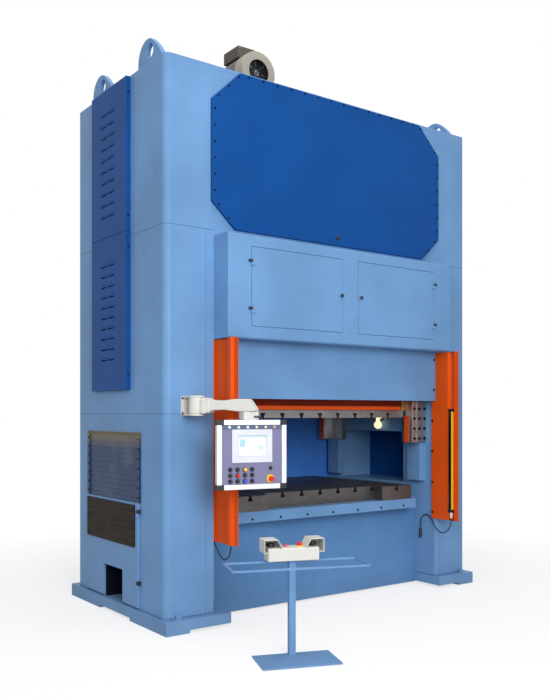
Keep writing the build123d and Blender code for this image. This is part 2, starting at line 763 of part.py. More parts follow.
def gear_outline(teeth, phase):
    """Straight-flanked tooth outline of a gear about the sketch's origin."""
    pitch_radius = teeth * gear_module / 2
    pitch = 360 / teeth
    points = []
    for tooth in range(teeth):
        middle = phase + tooth * pitch
        for share, radius in (
            (-tooth_root_share, pitch_radius - gear_module),
            (-tooth_tip_share, pitch_radius + gear_module * (1 - tooth_tip_share)),
            (tooth_tip_share, pitch_radius + gear_module * (1 - tooth_tip_share)),
            (tooth_root_share, pitch_radius - gear_module),
        ):
            turn = radians(middle + share * pitch)
            points.append((radius * cos(turn), radius * sin(turn)))
    return points


def front_plane(x, y, z):
    """Plane that faces the front, with its own origin, X to the right and Y up."""
    return Plane(origin=(x, y, z), x_dir=(1, 0, 0), z_dir=(0, -1, 0))


gear_rows = (("left_eccentric_gear", -1, left_phase), ("right_eccentric_gear", 1, right_phase))
for gear_name, side, phase in gear_rows:
    gear_x = side * gear_pitch_radius
    with BuildPart() as eccentric_gear:
        with BuildSketch(front_plane(gear_x, gear_front + gear_face, gear_z)):
            with BuildLine():
                Polyline(*gear_outline(gear_teeth, phase), close=True)
            make_face()
            Circle(pin_radius + running_gap, mode=Mode.SUBTRACT)
            with PolarLocations(gear_hole_ring_share * gear_pitch_radius, gear_hole_count):
                Circle(gear_hole_radius, mode=Mode.SUBTRACT)
        extrude(amount=gear_face)
        with BuildSketch(front_plane(gear_x, gear_front, gear_z)):
            with Locations((0, eccentric_throw)):
                Circle(eccentric_radius)
            Circle(pin_radius + running_gap, mode=Mode.SUBTRACT)
        extrude(amount=gear_front + eccentric_face / 2)
    save(eccentric_gear, gear_name)

with BuildPart() as gear_pins:
    for side in (-1, 1):
        with BuildSketch(front_plane(side * gear_pitch_radius, crown_back, gear_z)):
            Circle(pin_radius)
        extrude(amount=crown_depth)
save(gear_pins, "gear_pins")

# Connecting rods: each hugs its eccentric from below and stands in a pocket of the slide
strap_radius = 250
rod_width = 160
rod_face = 140
rod_foot_width = 210
rod_foot_height = 150
eccentric_z = gear_z + eccentric_throw
rod_bottom = slide_z[1] - rod_foot_depth
with BuildPart() as connecting_rods:
    for side in (-1, 1):
        rod_x = side * gear_pitch_radius
        with BuildSketch(front_plane(rod_x, rod_face / 2, 0)):
            with Locations((0, eccentric_z)):
                Circle(strap_radius)
            with Locations((0, (eccentric_z + rod_bottom) / 2)):
                Rectangle(rod_width, eccentric_z - rod_bottom)
            with Locations((0, rod_bottom + rod_foot_height / 2)):
                Rectangle(rod_foot_width, rod_foot_height)
            with Locations((0, eccentric_z)):
                Circle(eccentric_radius + running_gap, mode=Mode.SUBTRACT)
            with Locations((0, eccentric_z + strap_radius)):
                Rectangle(2 * strap_radius + overrun, 2 * strap_radius, mode=Mode.SUBTRACT)
        extrude(amount=rod_face)
save(connecting_rods, "connecting_rods")

with BuildPart() as rod_caps:
    for side in (-1, 1):
        with BuildSketch(front_plane(side * gear_pitch_radius, rod_face / 2, eccentric_z)):
            Circle(strap_radius)
            Circle(eccentric_radius + running_gap, mode=Mode.SUBTRACT)
            with Locations((0, -strap_radius)):
                Rectangle(2 * strap_radius + overrun, 2 * strap_radius, mode=Mode.SUBTRACT)
        extrude(amount=rod_face)
save(rod_caps, "rod_caps")

# Flywheel on the pinion shaft behind the crown, driven from the motor by three belts
flywheel_radius = 520
flywheel_width = 160
flywheel_rim = 90
flywheel_web = 50
flywheel_hub_radius = 130
flywheel_hole_radius = 80
flywheel_room = 20
belt_count = 3
belt_width = 20
belt_height = 16
belt_pitch = 40
pulley_radius = 110
motor_x = -620
motor_lift = 260
motor_z = crown_top + motor_lift
flywheel_front = crown_back + flywheel_room
flywheel_middle = flywheel_front + flywheel_width / 2
flywheel_back = flywheel_front + flywheel_width
belt_first = flywheel_middle - (belt_count - 1) / 2 * belt_pitch
belt_levels = [belt_first + index * belt_pitch for index in range(belt_count)]
groove_half = belt_width / 2 + running_gap


def cut_grooves(x, z, radius):
    """Belt grooves round a wheel of this radius."""
    for level in belt_levels:
        with BuildSketch(front_plane(x, level + groove_half, z)) as groove:
            Circle(radius + overrun)
            Circle(radius - belt_height / 2, mode=Mode.SUBTRACT)
        extrude(groove.sketch, amount=2 * groove_half, mode=Mode.SUBTRACT)


with BuildPart() as pinion_shaft:
    with BuildSketch(front_plane(pinion_x, flywheel_back + flywheel_room, pinion_z)):
        Circle(shaft_radius)
    extrude(amount=flywheel_back + flywheel_room - gear_front)
    with BuildSketch(front_plane(pinion_x, gear_front + gear_face, pinion_z)):
        with BuildLine():
            Polyline(*gear_outline(pinion_teeth, pinion_phase), close=True)
        make_face()
    extrude(amount=gear_face)
save(pinion_shaft, "pinion_shaft")

with BuildPart() as flywheel:
    with BuildSketch(front_plane(pinion_x, flywheel_back, pinion_z)):
        Circle(flywheel_radius)
        Circle(flywheel_radius - flywheel_rim, mode=Mode.SUBTRACT)
        Circle(flywheel_hub_radius)
        Circle(shaft_radius + running_gap, mode=Mode.SUBTRACT)
    extrude(amount=flywheel_width)
    with BuildSketch(front_plane(pinion_x, flywheel_middle + flywheel_web / 2, pinion_z)):
        Circle(flywheel_radius - flywheel_rim / 2)
        Circle(flywheel_hub_radius - overrun, mode=Mode.SUBTRACT)
        hole_ring = (flywheel_radius - flywheel_rim + flywheel_hub_radius) / 2
        with PolarLocations(hole_ring, gear_hole_count):
            Circle(flywheel_hole_radius, mode=Mode.SUBTRACT)
    extrude(amount=flywheel_web)
    cut_grooves(pinion_x, pinion_z, flywheel_radius)
save(flywheel, "flywheel")

# Motor: ribbed body on feet, fan cowl with an open mouth at the front, terminal box on top
motor_radius = 172
motor_core_radius = 146
motor_length = 640
motor_fin_count = 28
motor_fin_width = 9
motor_setback = 220
motor_feet_width = 300
motor_feet_inset = 90
motor_shaft_radius = 30
cowl_length = 130
cowl_wall = 10
cowl_mouth_radius = 107
cowl_radius = 178
fan_radius = 130
fan_hub_radius = 52
fan_blade = 8
fan_blades = 8
terminal_length = 250
terminal_width = 190
terminal_height = 105
motor_back = crown_back - motor_setback
motor_front = motor_back - motor_length
cowl_front = motor_front - cowl_length
with BuildPart() as motor:
    with BuildSketch(front_plane(motor_x, motor_back, motor_z)):
        Circle(motor_core_radius)
        with PolarLocations((motor_core_radius + motor_radius) / 2, motor_fin_count):
            Rectangle(motor_radius - motor_core_radius + 2 * overrun, motor_fin_width)
        Circle(motor_shaft_radius + running_gap, mode=Mode.SUBTRACT)
    extrude(amount=motor_length)
    feet_y = (motor_front + motor_feet_inset, motor_back - motor_feet_inset)
    feet_x = (motor_x - motor_feet_width / 2, motor_x + motor_feet_width / 2)
    block(feet_x, feet_y, (crown_top, motor_z - motor_core_radius + overrun))
    block(
        (motor_x - terminal_width / 4, motor_x + terminal_width / 4),
        (motor_front + terminal_length / 2, motor_front + terminal_length),
        (motor_z + motor_core_radius - overrun, motor_z + motor_radius + overrun),
    )
save(motor, "motor")

with BuildPart() as motor_cowl:
    with BuildSketch(front_plane(motor_x, motor_front, motor_z)):
        Circle(cowl_radius)
    extrude(amount=cowl_length)
    with BuildSketch(front_plane(motor_x, motor_front, motor_z)):
        Circle(cowl_radius - cowl_wall)
    extrude(amount=cowl_length - cowl_wall, mode=Mode.SUBTRACT)
    with BuildSketch(front_plane(motor_x, cowl_front + cowl_wall + overrun, motor_z)):
        Circle(cowl_mouth_radius)
    extrude(amount=cowl_wall + 2 * overrun, mode=Mode.SUBTRACT)
    fillet(motor_cowl.faces().sort_by(Axis.Y)[0].outer_wire().edges(), cowl_wall / 2)
save(motor_cowl, "motor_cowl")

terminal_y = (motor_front + terminal_length / 4, motor_front + terminal_length * 5 / 4)
terminal_z = (motor_z + motor_radius + overrun, motor_z + motor_radius + overrun + terminal_height)
with BuildPart() as terminal_box:
    block((motor_x - terminal_width / 2, motor_x + terminal_width / 2), terminal_y, terminal_z)
    fillet(terminal_box.edges().filter_by(Axis.Z), cowl_wall)
save(terminal_box, "terminal_box")

with BuildPart() as motor_rotor:
    with BuildSketch(front_plane(motor_x, flywheel_back, motor_z)):
        Circle(motor_shaft_radius)
    extrude(amount=flywheel_back - cowl_front - cowl_wall - fan_hub_radius / 2)
    with BuildSketch(front_plane(motor_x, flywheel_back, motor_z)):
        Circle(pulley_radius)
    extrude(amount=flywheel_width)
    cut_grooves(motor_x, motor_z, pulley_radius)
    fan_back = motor_front - cowl_wall
    with BuildSketch(front_plane(motor_x, fan_back, motor_z)):
        Circle(fan_hub_radius)
        with PolarLocations(fan_radius / 2, fan_blades):
            Rectangle(fan_radius, fan_blade)
    extrude(amount=cowl_length / 2)
save(motor_rotor, "motor_rotor")


def belt_loop(offset):
    """Face between two taut loops round flywheel and pulley, offset from the groove floors."""
    groove_floor = belt_height / 2 - running_gap
    with Locations((motor_x - pinion_x, motor_z - pinion_z)):
        Circle(pulley_radius - groove_floor + offset)
    Circle(flywheel_radius - groove_floor + offset)
    make_hull()


with BuildPart() as drive_belts:
    for level in belt_levels:
        with BuildSketch(front_plane(pinion_x, level + belt_width / 2, pinion_z)):
            belt_loop(belt_height)
        extrude(amount=belt_width)
    for level in belt_levels:
        with BuildSketch(front_plane(pinion_x, level + belt_width / 2 + overrun, pinion_z)):
            belt_loop(0)
        extrude(amount=belt_width + 2 * overrun, mode=Mode.SUBTRACT)
save(drive_belts, "drive_belts")

# Flywheel guard: the sheet housing round flywheel and belts, slotted over the wheel
guard_room = 45
guard_sheet = 5
guard_slot_count = 9
guard_slot_width = 24
guard_slot_share = 0.8
guard_back = flywheel_back + 3 * flywheel_room


def guard_outline(room):
    """Outline round flywheel and pulley with this much room."""
    with Locations((motor_x - pinion_x, motor_z - pinion_z)):
        Circle(pulley_radius + room)
    Circle(flywheel_radius + room)
    make_hull()


with BuildPart() as flywheel_guard:
    with BuildSketch(front_plane(pinion_x, guard_back, pinion_z)):
        guard_outline(guard_room + guard_sheet)
    extrude(amount=guard_back - crown_back)
    with BuildSketch(front_plane(pinion_x, guard_back - guard_sheet, pinion_z)):
        guard_outline(guard_room)
    extrude(amount=guard_back - crown_back, mode=Mode.SUBTRACT)
    with BuildSketch(front_plane(pinion_x, guard_back + overrun, pinion_z)):
        for slot in range(guard_slot_count):
            slot_place = (slot - (guard_slot_count - 1) / 2) / (guard_slot_count - 1)
            with Locations((0, 2 * guard_slot_share * slot_place * flywheel_radius)):
                SlotOverall(guard_slot_share * flywheel_radius, guard_slot_width)
    extrude(amount=guard_sheet + 2 * overrun, mode=Mode.SUBTRACT)
save(flywheel_guard, "flywheel_guard")

# Arm bracket: the wall plate and swivel post of the control panel's arm, on the left column
bracket_inset = 201
bracket_x = bracket_inset - column_outer
bracket_z = 1802
bracket_plate = (120, 150, 16)
bracket_reach = 150
swivel_radius = 62
swivel_height = 130
swivel_pin_radius = 24
swivel_cap = 14
arm_height = 92
arm_width = 84
arm_wall_radius = 10
arm_length = 453
arm_turn = -57.6
swivel_y = front - bracket_reach
lower_swivel = bracket_z - swivel_height / 2
upper_swivel = bracket_z + swivel_height / 2
with BuildPart() as arm_bracket:
    with BuildSketch(front_plane(bracket_x, front, bracket_z)):
        RectangleRounded(bracket_plate[0], bracket_plate[1], bracket_plate[2] / 2)
    extrude(amount=bracket_plate[2])
    for cap_low in (lower_swivel - swivel_cap, upper_swivel):
        with BuildSketch(Plane.XY.offset(cap_low)):
            with Locations((bracket_x, swivel_y)):
                Circle(swivel_radius)
            with Locations((bracket_x, (front + swivel_y) / 2)):
                Rectangle(arm_width, bracket_reach)
        extrude(amount=swivel_cap)
    with BuildSketch(Plane.XY.offset(lower_swivel - overrun)):
        with Locations((bracket_x, swivel_y)):
            Circle(swivel_pin_radius)
    extrude(amount=swivel_height + 2 * overrun)
save(arm_bracket, "arm_bracket")

# Swing arm: a swivel hub, a box-section arm and an elbow that carries the panel's neck
neck_radius = 36
neck_pin_radius = 16
neck_pin_length = 60
neck_top = 1755
panel_height = 527
panel_width = 570
panel_top = 1692
panel_yaw = 12
arm_dir = (cos(radians(arm_turn)), sin(radians(arm_turn)))
neck_x = bracket_x + arm_length * arm_dir[0]
neck_y = swivel_y + arm_length * arm_dir[1]
arm_start = (bracket_x, swivel_y, bracket_z)
arm_plane = Plane(origin=arm_start, x_dir=(0, 0, 1), z_dir=(arm_dir[0], arm_dir[1], 0))
with BuildPart() as swing_arm:
    with BuildSketch(Plane.XY.offset(lower_swivel + running_gap)):
        with Locations((bracket_x, swivel_y)):
            Circle(swivel_radius)
    extrude(amount=swivel_height - 2 * running_gap)
    with BuildSketch(arm_plane):
        RectangleRounded(arm_height, arm_width, arm_wall_radius)
    extrude(amount=arm_length)
    with BuildSketch(Plane.XY.offset(neck_top)):
        with Locations((neck_x, neck_y)):
            Circle(arm_width / 2)
    extrude(amount=bracket_z + arm_height / 2 - neck_top)
    with BuildSketch(Plane.XY.offset(lower_swivel)):
        with Locations((bracket_x, swivel_y)):
            Circle(swivel_pin_radius + running_gap)
    extrude(amount=swivel_height, mode=Mode.SUBTRACT)
    with BuildSketch(Plane.XY.offset(neck_top)):
        with Locations((neck_x, neck_y)):
            Circle(neck_pin_radius + running_gap)
    extrude(amount=neck_pin_length, mode=Mode.SUBTRACT)
save(swing_arm, "swing_arm")

# Control panel: case with a neck, aluminium edge frame, face plate, operator screen
case_depth = 72
frame_bar = 38
frame_depth_front = 24
face_recess = 8
bezel_width = 330
bezel_height = 252
bezel_thickness = 7
bezel_drop = 72
screen_width = 226
screen_height = 160
screen_thickness = 2
panel_turn = radians(panel_yaw)
panel_right = (cos(panel_turn), -sin(panel_turn), 0)
panel_normal = (-sin(panel_turn), -cos(panel_turn), 0)
panel_middle_z = panel_top - panel_height / 2


def panel_plane(forward):
    """Plane of the panel's face, this far in front of the neck's axis."""
    origin = (neck_x + forward * panel_normal[0], neck_y + forward * panel_normal[1], panel_middle_z)
    return Plane(origin=origin, x_dir=panel_right, z_dir=panel_normal)


case_back = -case_depth / 2
case_front = case_depth / 2
frame_front = case_front + frame_depth_front
face_front = frame_front - face_recess
with BuildPart() as panel_case:
    with BuildSketch(panel_plane(case_back)):
        Rectangle(panel_width - frame_bar, panel_height - frame_bar)
    extrude(amount=case_depth)
    with BuildSketch(Plane.XY.offset(panel_top - frame_bar / 2)):
        with Locations((neck_x, neck_y)):
            Circle(neck_radius)
    extrude(amount=neck_top - running_gap - panel_top + frame_bar / 2)
    with BuildSketch(Plane.XY.offset(neck_top - overrun)):
        with Locations((neck_x, neck_y)):
            Circle(neck_pin_radius)
    extrude(amount=neck_pin_length)
save(panel_case, "panel_case")

with BuildPart() as panel_frame:
    with BuildSketch(panel_plane(case_front)):
        RectangleRounded(panel_width, panel_height, frame_bar / 3)
        Rectangle(panel_width - 2 * frame_bar, panel_height - 2 * frame_bar, mode=Mode.SUBTRACT)
    extrude(amount=frame_depth_front)
save(panel_frame, "panel_frame")

bezel_y = panel_height / 2 - bezel_drop - bezel_height / 2
with BuildPart() as screen_bezel:
    with BuildSketch(panel_plane(face_front)):
        with Locations((0, bezel_y)):
            RectangleRounded(bezel_width, bezel_height, bezel_thickness)
            Rectangle(screen_width, screen_height, mode=Mode.SUBTRACT)
    extrude(amount=bezel_thickness)
save(screen_bezel, "screen_bezel")

with BuildPart() as screen:
    with BuildSketch(panel_plane(face_front)):
        with Locations((0, bezel_y)):
            Rectangle(screen_width, screen_height)
    extrude(amount=screen_thickness)
save(screen, "screen")

# Panel face: lamps in a row on top, three rows of buttons below, with the stop and key places
lamp_count = 6
lamp_pitch = 74
pilot_radius = 11
pilot_height = 9
lamp_drop = 55
button_radius = 14
button_height = 14
button_travel = 5
button_rows = 3
button_columns = 4
button_pitch = 44
column_pitch = 59
button_first = (-178, -112)
collar_wall = 4
collar_height = 9
stop_place = (150, -186)
stop_head_radius = 20
stop_head_height = 18
stop_stem_radius = 9
stop_ring_radius = 32
stop_ring_height = 5
stop_travel = 5
key_place = (150, -104)
key_radius = 14
key_height = 12
key_wing = (6, 24, 16)
moving_buttons = {(2, 0): "start_button", (1, 1): "off_button", (2, 2): "reset_button"}
fixed_places = []
moving_places = {}
for row in range(button_rows):
    for column_index in range(button_columns):
        place = (button_first[0] + column_index * column_pitch, button_first[1] - row * button_pitch)
        button_name = moving_buttons.get((column_index, row))
        if button_name:
            moving_places[button_name] = place
        else:
            fixed_places.append(place)
with BuildPart() as panel_face:
    with BuildSketch(panel_plane(case_front)):
        Rectangle(panel_width - 2 * frame_bar, panel_height - 2 * frame_bar)
    extrude(amount=face_front - case_front)
    with BuildSketch(panel_plane(face_front)):
        with Locations((0, panel_height / 2 - lamp_drop)):
            with GridLocations(lamp_pitch, 0, lamp_count, 1):
                Circle(pilot_radius)
    extrude(amount=pilot_height)
    with BuildSketch(panel_plane(face_front)):
        with Locations(*fixed_places):
            Circle(button_radius)
    extrude(amount=button_travel + button_height)
    with BuildSketch(panel_plane(face_front)):
        with Locations(*fixed_places, *moving_places.values()):
            Circle(button_radius + collar_wall)
        with Locations(*moving_places.values()):
            Circle(button_radius + running_gap, mode=Mode.SUBTRACT)
    extrude(amount=collar_height)
    with BuildSketch(panel_plane(face_front)):
        with Locations(stop_place):
            Circle(stop_ring_radius)
            Circle(stop_stem_radius + running_gap, mode=Mode.SUBTRACT)
    extrude(amount=stop_ring_height + stop_travel)
save(panel_face, "panel_face")

for button_name, place in moving_places.items():
    with BuildPart() as push_button:
        with BuildSketch(panel_plane(face_front + button_travel + running_gap)):
            with Locations(place):
                Circle(button_radius)
        extrude(amount=button_height)
    save(push_button, button_name)

with BuildPart() as panel_stop:
    with BuildSketch(panel_plane(face_front + stop_travel + running_gap)):
        with Locations(stop_place):
            Circle(stop_stem_radius)
    extrude(amount=stop_ring_height + stop_travel)
    with BuildSketch(panel_plane(face_front + stop_ring_height + 2 * stop_travel + running_gap)):
        with Locations(stop_place):
            Circle(stop_head_radius)
    extrude(amount=stop_head_height)
save(panel_stop, "panel_stop")

with BuildPart() as key_switch:
    with BuildSketch(panel_plane(face_front)):
        with Locations(key_place):
            Circle(key_radius)
    extrude(amount=key_height)
    with BuildSketch(panel_plane(face_front + key_height)):
        with Locations(key_place):
            Rectangle(key_wing[0], key_wing[1])
    extrude(amount=key_wing[2])
save(key_switch, "key_switch")

# Control stand: base plate, square post and a rail hoop, welded in one, in front of the press
stand_inset = 420
stand_distance = 1157
stand_x = stand_inset - column_outer
stand_y = front - stand_distance
stand_yaw = -21
base_size = (572, 325, 12)
post_size = 50
post_top = 690
post_back = 32
hoop_length = 1000
hoop_bar = 14
hoop_radius = 24
hoop_z = 684
stand_turn = radians(stand_yaw)


def stand_plane(level):
    """Horizontal plane in the stand's own directions, Y towards the press."""
    x_dir = (cos(stand_turn), sin(stand_turn), 0)
    return Plane(origin=(stand_x, stand_y, level), x_dir=x_dir, z_dir=(0, 0, 1))


post_place = (0, base_size[1] / 2 - post_back)
hoop_depth = base_size[1]
with BuildPart() as control_stand:
    with BuildSketch(stand_plane(0)):
        Rectangle(base_size[0], base_size[1])
    extrude(amount=base_size[2])
    with BuildSketch(stand_plane(0)):
        with Locations(post_place):
            RectangleRounded(post_size, post_size, base_size[2] / 2)
    extrude(amount=post_top)
    with BuildSketch(stand_plane(hoop_z - hoop_bar)):
        RectangleRounded(hoop_length, hoop_depth, hoop_radius)
        inner_radius = hoop_radius - hoop_bar
        inner_size = (hoop_length - 2 * hoop_bar, hoop_depth - 2 * hoop_bar)
        RectangleRounded(inner_size[0], inner_size[1], inner_radius, mode=Mode.SUBTRACT)
        with Locations((0, (post_place[1] + hoop_depth / 2) / 2)):
            Rectangle(post_size, hoop_depth / 2 - post_place[1])
    extrude(amount=hoop_bar)
save(control_stand, "control_stand")

# Console: the two-hand control box on the post, with a shrouded palm button at each end
console_width = 380
console_depth = 130
console_height = 96
shroud_width = 130
shroud_height = 158
shroud_wall = 9
shroud_depth = 170
palm_radius = 30
palm_height = 24
palm_travel = 6
palm_stem_radius = 12
console_stop_x = 58
console_edge = 10
console_half = 222
console_y = post_place[1]
console_low = post_top
console_top = post_top + console_height
shroud_middle = console_half - shroud_width / 2
with BuildPart() as console:
    with BuildSketch(stand_plane(console_low)):
        with Locations((0, console_y)):
            RectangleRounded(console_width, console_depth, console_edge)
    extrude(amount=console_height)
    for side in (-1, 1):
        with BuildSketch(stand_plane(console_low + shroud_height / 3)):
            with Locations((side * shroud_middle, console_y)):
                RectangleRounded(shroud_width, shroud_depth, console_edge)
        extrude(amount=shroud_height * 2 / 3)
        with BuildSketch(stand_plane(console_low + console_height)):
            with Locations((side * shroud_middle, console_y - shroud_wall)):
                Rectangle(shroud_width - 2 * shroud_wall, shroud_depth)
        extrude(amount=shroud_height - console_height - shroud_wall, mode=Mode.SUBTRACT)
        with BuildSketch(stand_plane(console_top - palm_height)):
            with Locations((side * shroud_middle, console_y)):
                Circle(palm_stem_radius + running_gap)
        extrude(amount=palm_height + running_gap, mode=Mode.SUBTRACT)
    with BuildSketch(stand_plane(console_top)):
        with Locations((console_stop_x, console_y)):
            Circle(stop_ring_radius)
    extrude(amount=stop_ring_height)
    with BuildSketch(stand_plane(console_top - stop_head_height)):
        with Locations((console_stop_x, console_y)):
            Circle(stop_stem_radius + running_gap)
    extrude(amount=stop_head_height + stop_ring_height, mode=Mode.SUBTRACT)
save(console, "console")

for palm_name, side in (("left_palm_button", -1), ("right_palm_button", 1)):
    with BuildPart() as palm_button:
        with BuildSketch(stand_plane(console_top - palm_height + palm_travel + running_gap)):
            with Locations((side * shroud_middle, console_y)):
                Circle(palm_stem_radius)
        extrude(amount=palm_height)
        with BuildSketch(stand_plane(console_top + palm_travel + running_gap)):
            with Locations((side * shroud_middle, console_y)):
                Circle(palm_radius)
        extrude(amount=palm_height)
        fillet(palm_button.edges().sort_by(Axis.Z)[-1], palm_height / 3)
    save(palm_button, palm_name)

with BuildPart() as console_stop:
    with BuildSketch(stand_plane(console_top - stop_head_height + stop_travel + running_gap)):
        with Locations((console_stop_x, console_y)):
            Circle(stop_stem_radius)
    extrude(amount=stop_head_height + stop_ring_height)
    with BuildSketch(stand_plane(console_top + stop_ring_height + stop_travel + running_gap)):
        with Locations((console_stop_x, console_y)):
            Circle(stop_head_radius)
    extrude(amount=stop_head_height)
    fillet(console_stop.edges().sort_by(Axis.Z)[-1], stop_head_height / 3)
save(console_stop, "console_stop")
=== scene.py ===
from math import cos, pi, radians, sin

import bmesh
import bpy
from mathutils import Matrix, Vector


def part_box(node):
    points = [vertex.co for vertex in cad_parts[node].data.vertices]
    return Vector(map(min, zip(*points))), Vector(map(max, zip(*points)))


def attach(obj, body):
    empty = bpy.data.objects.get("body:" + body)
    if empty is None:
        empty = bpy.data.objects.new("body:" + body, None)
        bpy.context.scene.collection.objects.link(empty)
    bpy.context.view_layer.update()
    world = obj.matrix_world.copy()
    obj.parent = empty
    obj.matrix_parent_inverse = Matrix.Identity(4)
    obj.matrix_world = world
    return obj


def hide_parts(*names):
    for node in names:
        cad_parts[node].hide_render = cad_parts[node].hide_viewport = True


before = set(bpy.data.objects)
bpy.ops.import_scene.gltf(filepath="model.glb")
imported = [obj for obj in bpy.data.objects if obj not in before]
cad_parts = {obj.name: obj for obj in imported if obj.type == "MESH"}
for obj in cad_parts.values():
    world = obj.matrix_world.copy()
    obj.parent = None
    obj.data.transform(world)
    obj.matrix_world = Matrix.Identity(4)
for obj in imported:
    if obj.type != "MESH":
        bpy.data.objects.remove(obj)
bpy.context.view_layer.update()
scene = bpy.context.scene
scene.view_settings.view_transform = "Standard"


# Studio: a plain pale floor that runs to the horizon and a white surround. Two large soft lamps in front
# and one overhead light the press evenly, and the camera stands at eye height by the left front corner.
def placed(name, data):
    """A new object in the scene that shows this data."""
    made = bpy.data.objects.new(name, data)
    scene.collection.objects.link(made)
    return made


floor_half, floor_level = 60, -0.0015
floor_corners = [(x * floor_half, y * floor_half, floor_level)
                 for x, y in ((-1, -1), (1, -1), (1, 1), (-1, 1))]
floor_mesh = bpy.data.meshes.new("studio_floor")
floor_mesh.from_pydata(floor_corners, [], [(0, 1, 2, 3)])
studio_floor = placed("studio_floor", floor_mesh)


class Wire:
    """One socket of a node tree. Arithmetic on it adds Math nodes, and node() adds any other kind."""

    def __init__(self, tree, socket=None):
        self.tree = tree
        self.socket = socket

    def node(self, kind, settings=None, out=0, **values):
        """A new node, as the wire of one output. Inputs go by name, or by number as i0, i1 and so on."""
        made = self.tree.nodes.new(kind)
        for name, value in (settings or {}).items():
            setattr(made, name, value)
        for name, value in values.items():
            key = int(name[1:]) if name[0] == "i" and name[1:].isdigit() else name.replace("_", " ")
            for part in value if isinstance(value, list) else [value]:
                if isinstance(part, Wire):
                    self.tree.links.new(part.socket, made.inputs[key])
                else:
                    made.inputs[key].default_value = part
        return Wire(self.tree, made.outputs[out] if made.outputs else None)

    def math(self, operation, first, second=0.0, third=0.0):
        return self.node("ShaderNodeMath", {"operation": operation}, i0=first, i1=second, i2=third)

    def __add__(self, other):
        return self.math("ADD", self, other)

    __radd__ = __add__

    def __sub__(self, other):
        return self.math("SUBTRACT", self, other)

    def __rsub__(self, other):
        return self.math("SUBTRACT", other, self)

    def __mul__(self, other):
        return self.math("MULTIPLY", self, other)

    def __truediv__(self, other):
        return self.math("DIVIDE", self, other)

    def either(self, other):
        """The larger of the two."""
        return self.math("MAXIMUM", self, other)

    def near(self, place, reach):
        """1 within reach of this place, 0 elsewhere."""
        return self.math("COMPARE", self, place, reach)

    def band(self, low, high):
        """0 below low, 1 above high, straight between."""
        return self.node("ShaderNodeMapRange", i0=self, i1=low, i2=high, i3=0.0, i4=1.0)

    def mix(self, first, second):
        """Between two colours by this value."""
        first, second = [colour if isinstance(colour, Wire) else (*colour, 1) for colour in (first, second)]
        blend = {"data_type": "RGBA", "clamp_factor": True}
        return self.node("ShaderNodeMix", blend, out=2, i0=self, i6=first, i7=second)

    def axis(self, number):
        """One coordinate of this place."""
        return self.node("ShaderNodeSeparateXYZ", out=number, Vector=self)

    def noise(self, scale, detail, rough=0.5):
        """Cloudy noise at this place, 0 to 1."""
        return self.node("ShaderNodeTexNoise", Vector=self, Scale=scale, Detail=detail, Roughness=rough)

    def bump(self, strength, distance):
        """This height as a relief in the surface."""
        return self.node("ShaderNodeBump", Height=self, Strength=strength, Distance=distance)

    def ray(self, kind):
        """1 for light rays of this kind, 0 for others."""
        return self.node("ShaderNodeLightPath", out=f"Is {kind} Ray")


def blank_finish(name):
    """An empty material, and the wire of the place on the object that is being coloured."""
    made = bpy.data.materials.new(name)
    made.use_nodes = True
    made.node_tree.nodes.clear()
    return made, Wire(made.node_tree).node("ShaderNodeTexCoord", out=3)


floor_paint, place = blank_finish("floor_paint")
away = place.node("ShaderNodeVectorMath", {"operation": "LENGTH"}, out="Value", i0=place)
lit_floor = place.node("ShaderNodeBsdfDiffuse", Color=(0.93, 0.93, 0.93, 1))
dull_floor = place.node("ShaderNodeBsdfDiffuse", Color=(0.55, 0.55, 0.56, 1))
pale = place.node("ShaderNodeMixShader", i0=place.ray("Diffuse"), i1=lit_floor, i2=dull_floor)
white = place.node("ShaderNodeEmission", Color=(1, 1, 1, 1), Strength=1.0)
white_share = place.ray("Camera").either(place.ray("Glossy")) * (0.70 + away.band(2.2, 5.0) * 0.30)
floor_shader = place.node("ShaderNodeMixShader", i0=white_share, i1=pale, i2=white)
place.node("ShaderNodeOutputMaterial", Surface=floor_shader)
floor_mesh.materials.append(floor_paint)

world = bpy.data.worlds.new("studio")
world.use_nodes = True
world.node_tree.nodes.clear()
wire = Wire(world.node_tree)
seen = wire.ray("Camera").either(wire.ray("Transmission")).either(wire.ray("Glossy"))
surround = wire.node("ShaderNodeBackground", Color=(0.93, 0.95, 1, 1), Strength=0.50)
backdrop = wire.node("ShaderNodeBackground", Color=(1, 1, 1, 1), Strength=1.0)
world_shader = wire.node("ShaderNodeMixShader", i0=seen, i1=surround, i2=backdrop)
wire.node("ShaderNodeOutputWorld", Surface=world_shader)
scene.world = world

for lamp_name, lamp_place, lamp_aim, lamp_size, lamp_power in (
        ("left_softbox", (-9.5, -6.5, 6.0), (-1, 0, 2.0), 5.0, 205),
        ("front_softbox", (-3.4, -8.0, 3.6), (-0.6, 0, 2.2), 4.0, 390),
        ("top_softbox", (-1, -3, 11), (0, 0, 3), 6.0, 330)):
    lamp = bpy.data.lights.new(lamp_name, "AREA")
    lamp.shape = "DISK"
    lamp.size = lamp_size
    lamp.energy = lamp_power
    lamp_object = placed(lamp_name, lamp)
    lamp_object.location = lamp_place
    aim = Vector(lamp_aim) - Vector(lamp_place)
    lamp_object.rotation_euler = aim.to_track_quat("-Z", "Y").to_euler()

camera = bpy.data.cameras.new("photo_camera")
camera.lens = 42.47
camera.sensor_width = 36
camera.shift_y = 0.0911
camera.clip_end = 300
camera_object = placed("photo_camera", camera)
camera_object.location = (-4.884, -6.621, 1.739)
camera_object.rotation_euler = (radians(90), 0, radians(-36.11))
scene.camera = camera_object


# Foot plates: thick flame-cut plates under each column, painted with it, with a toe at each end.
# Hex nuts on washers, sprayed over with the plates, hold them to the floor anchors.
def linear(*colour):
    """Screen colour 0 to 255 as light."""
    return tuple((value / 255) ** 2.2 for value in colour)


def times(colour, share):
    """This colour made lighter or darker."""
    return tuple(min(1, value * share) for value in colour)


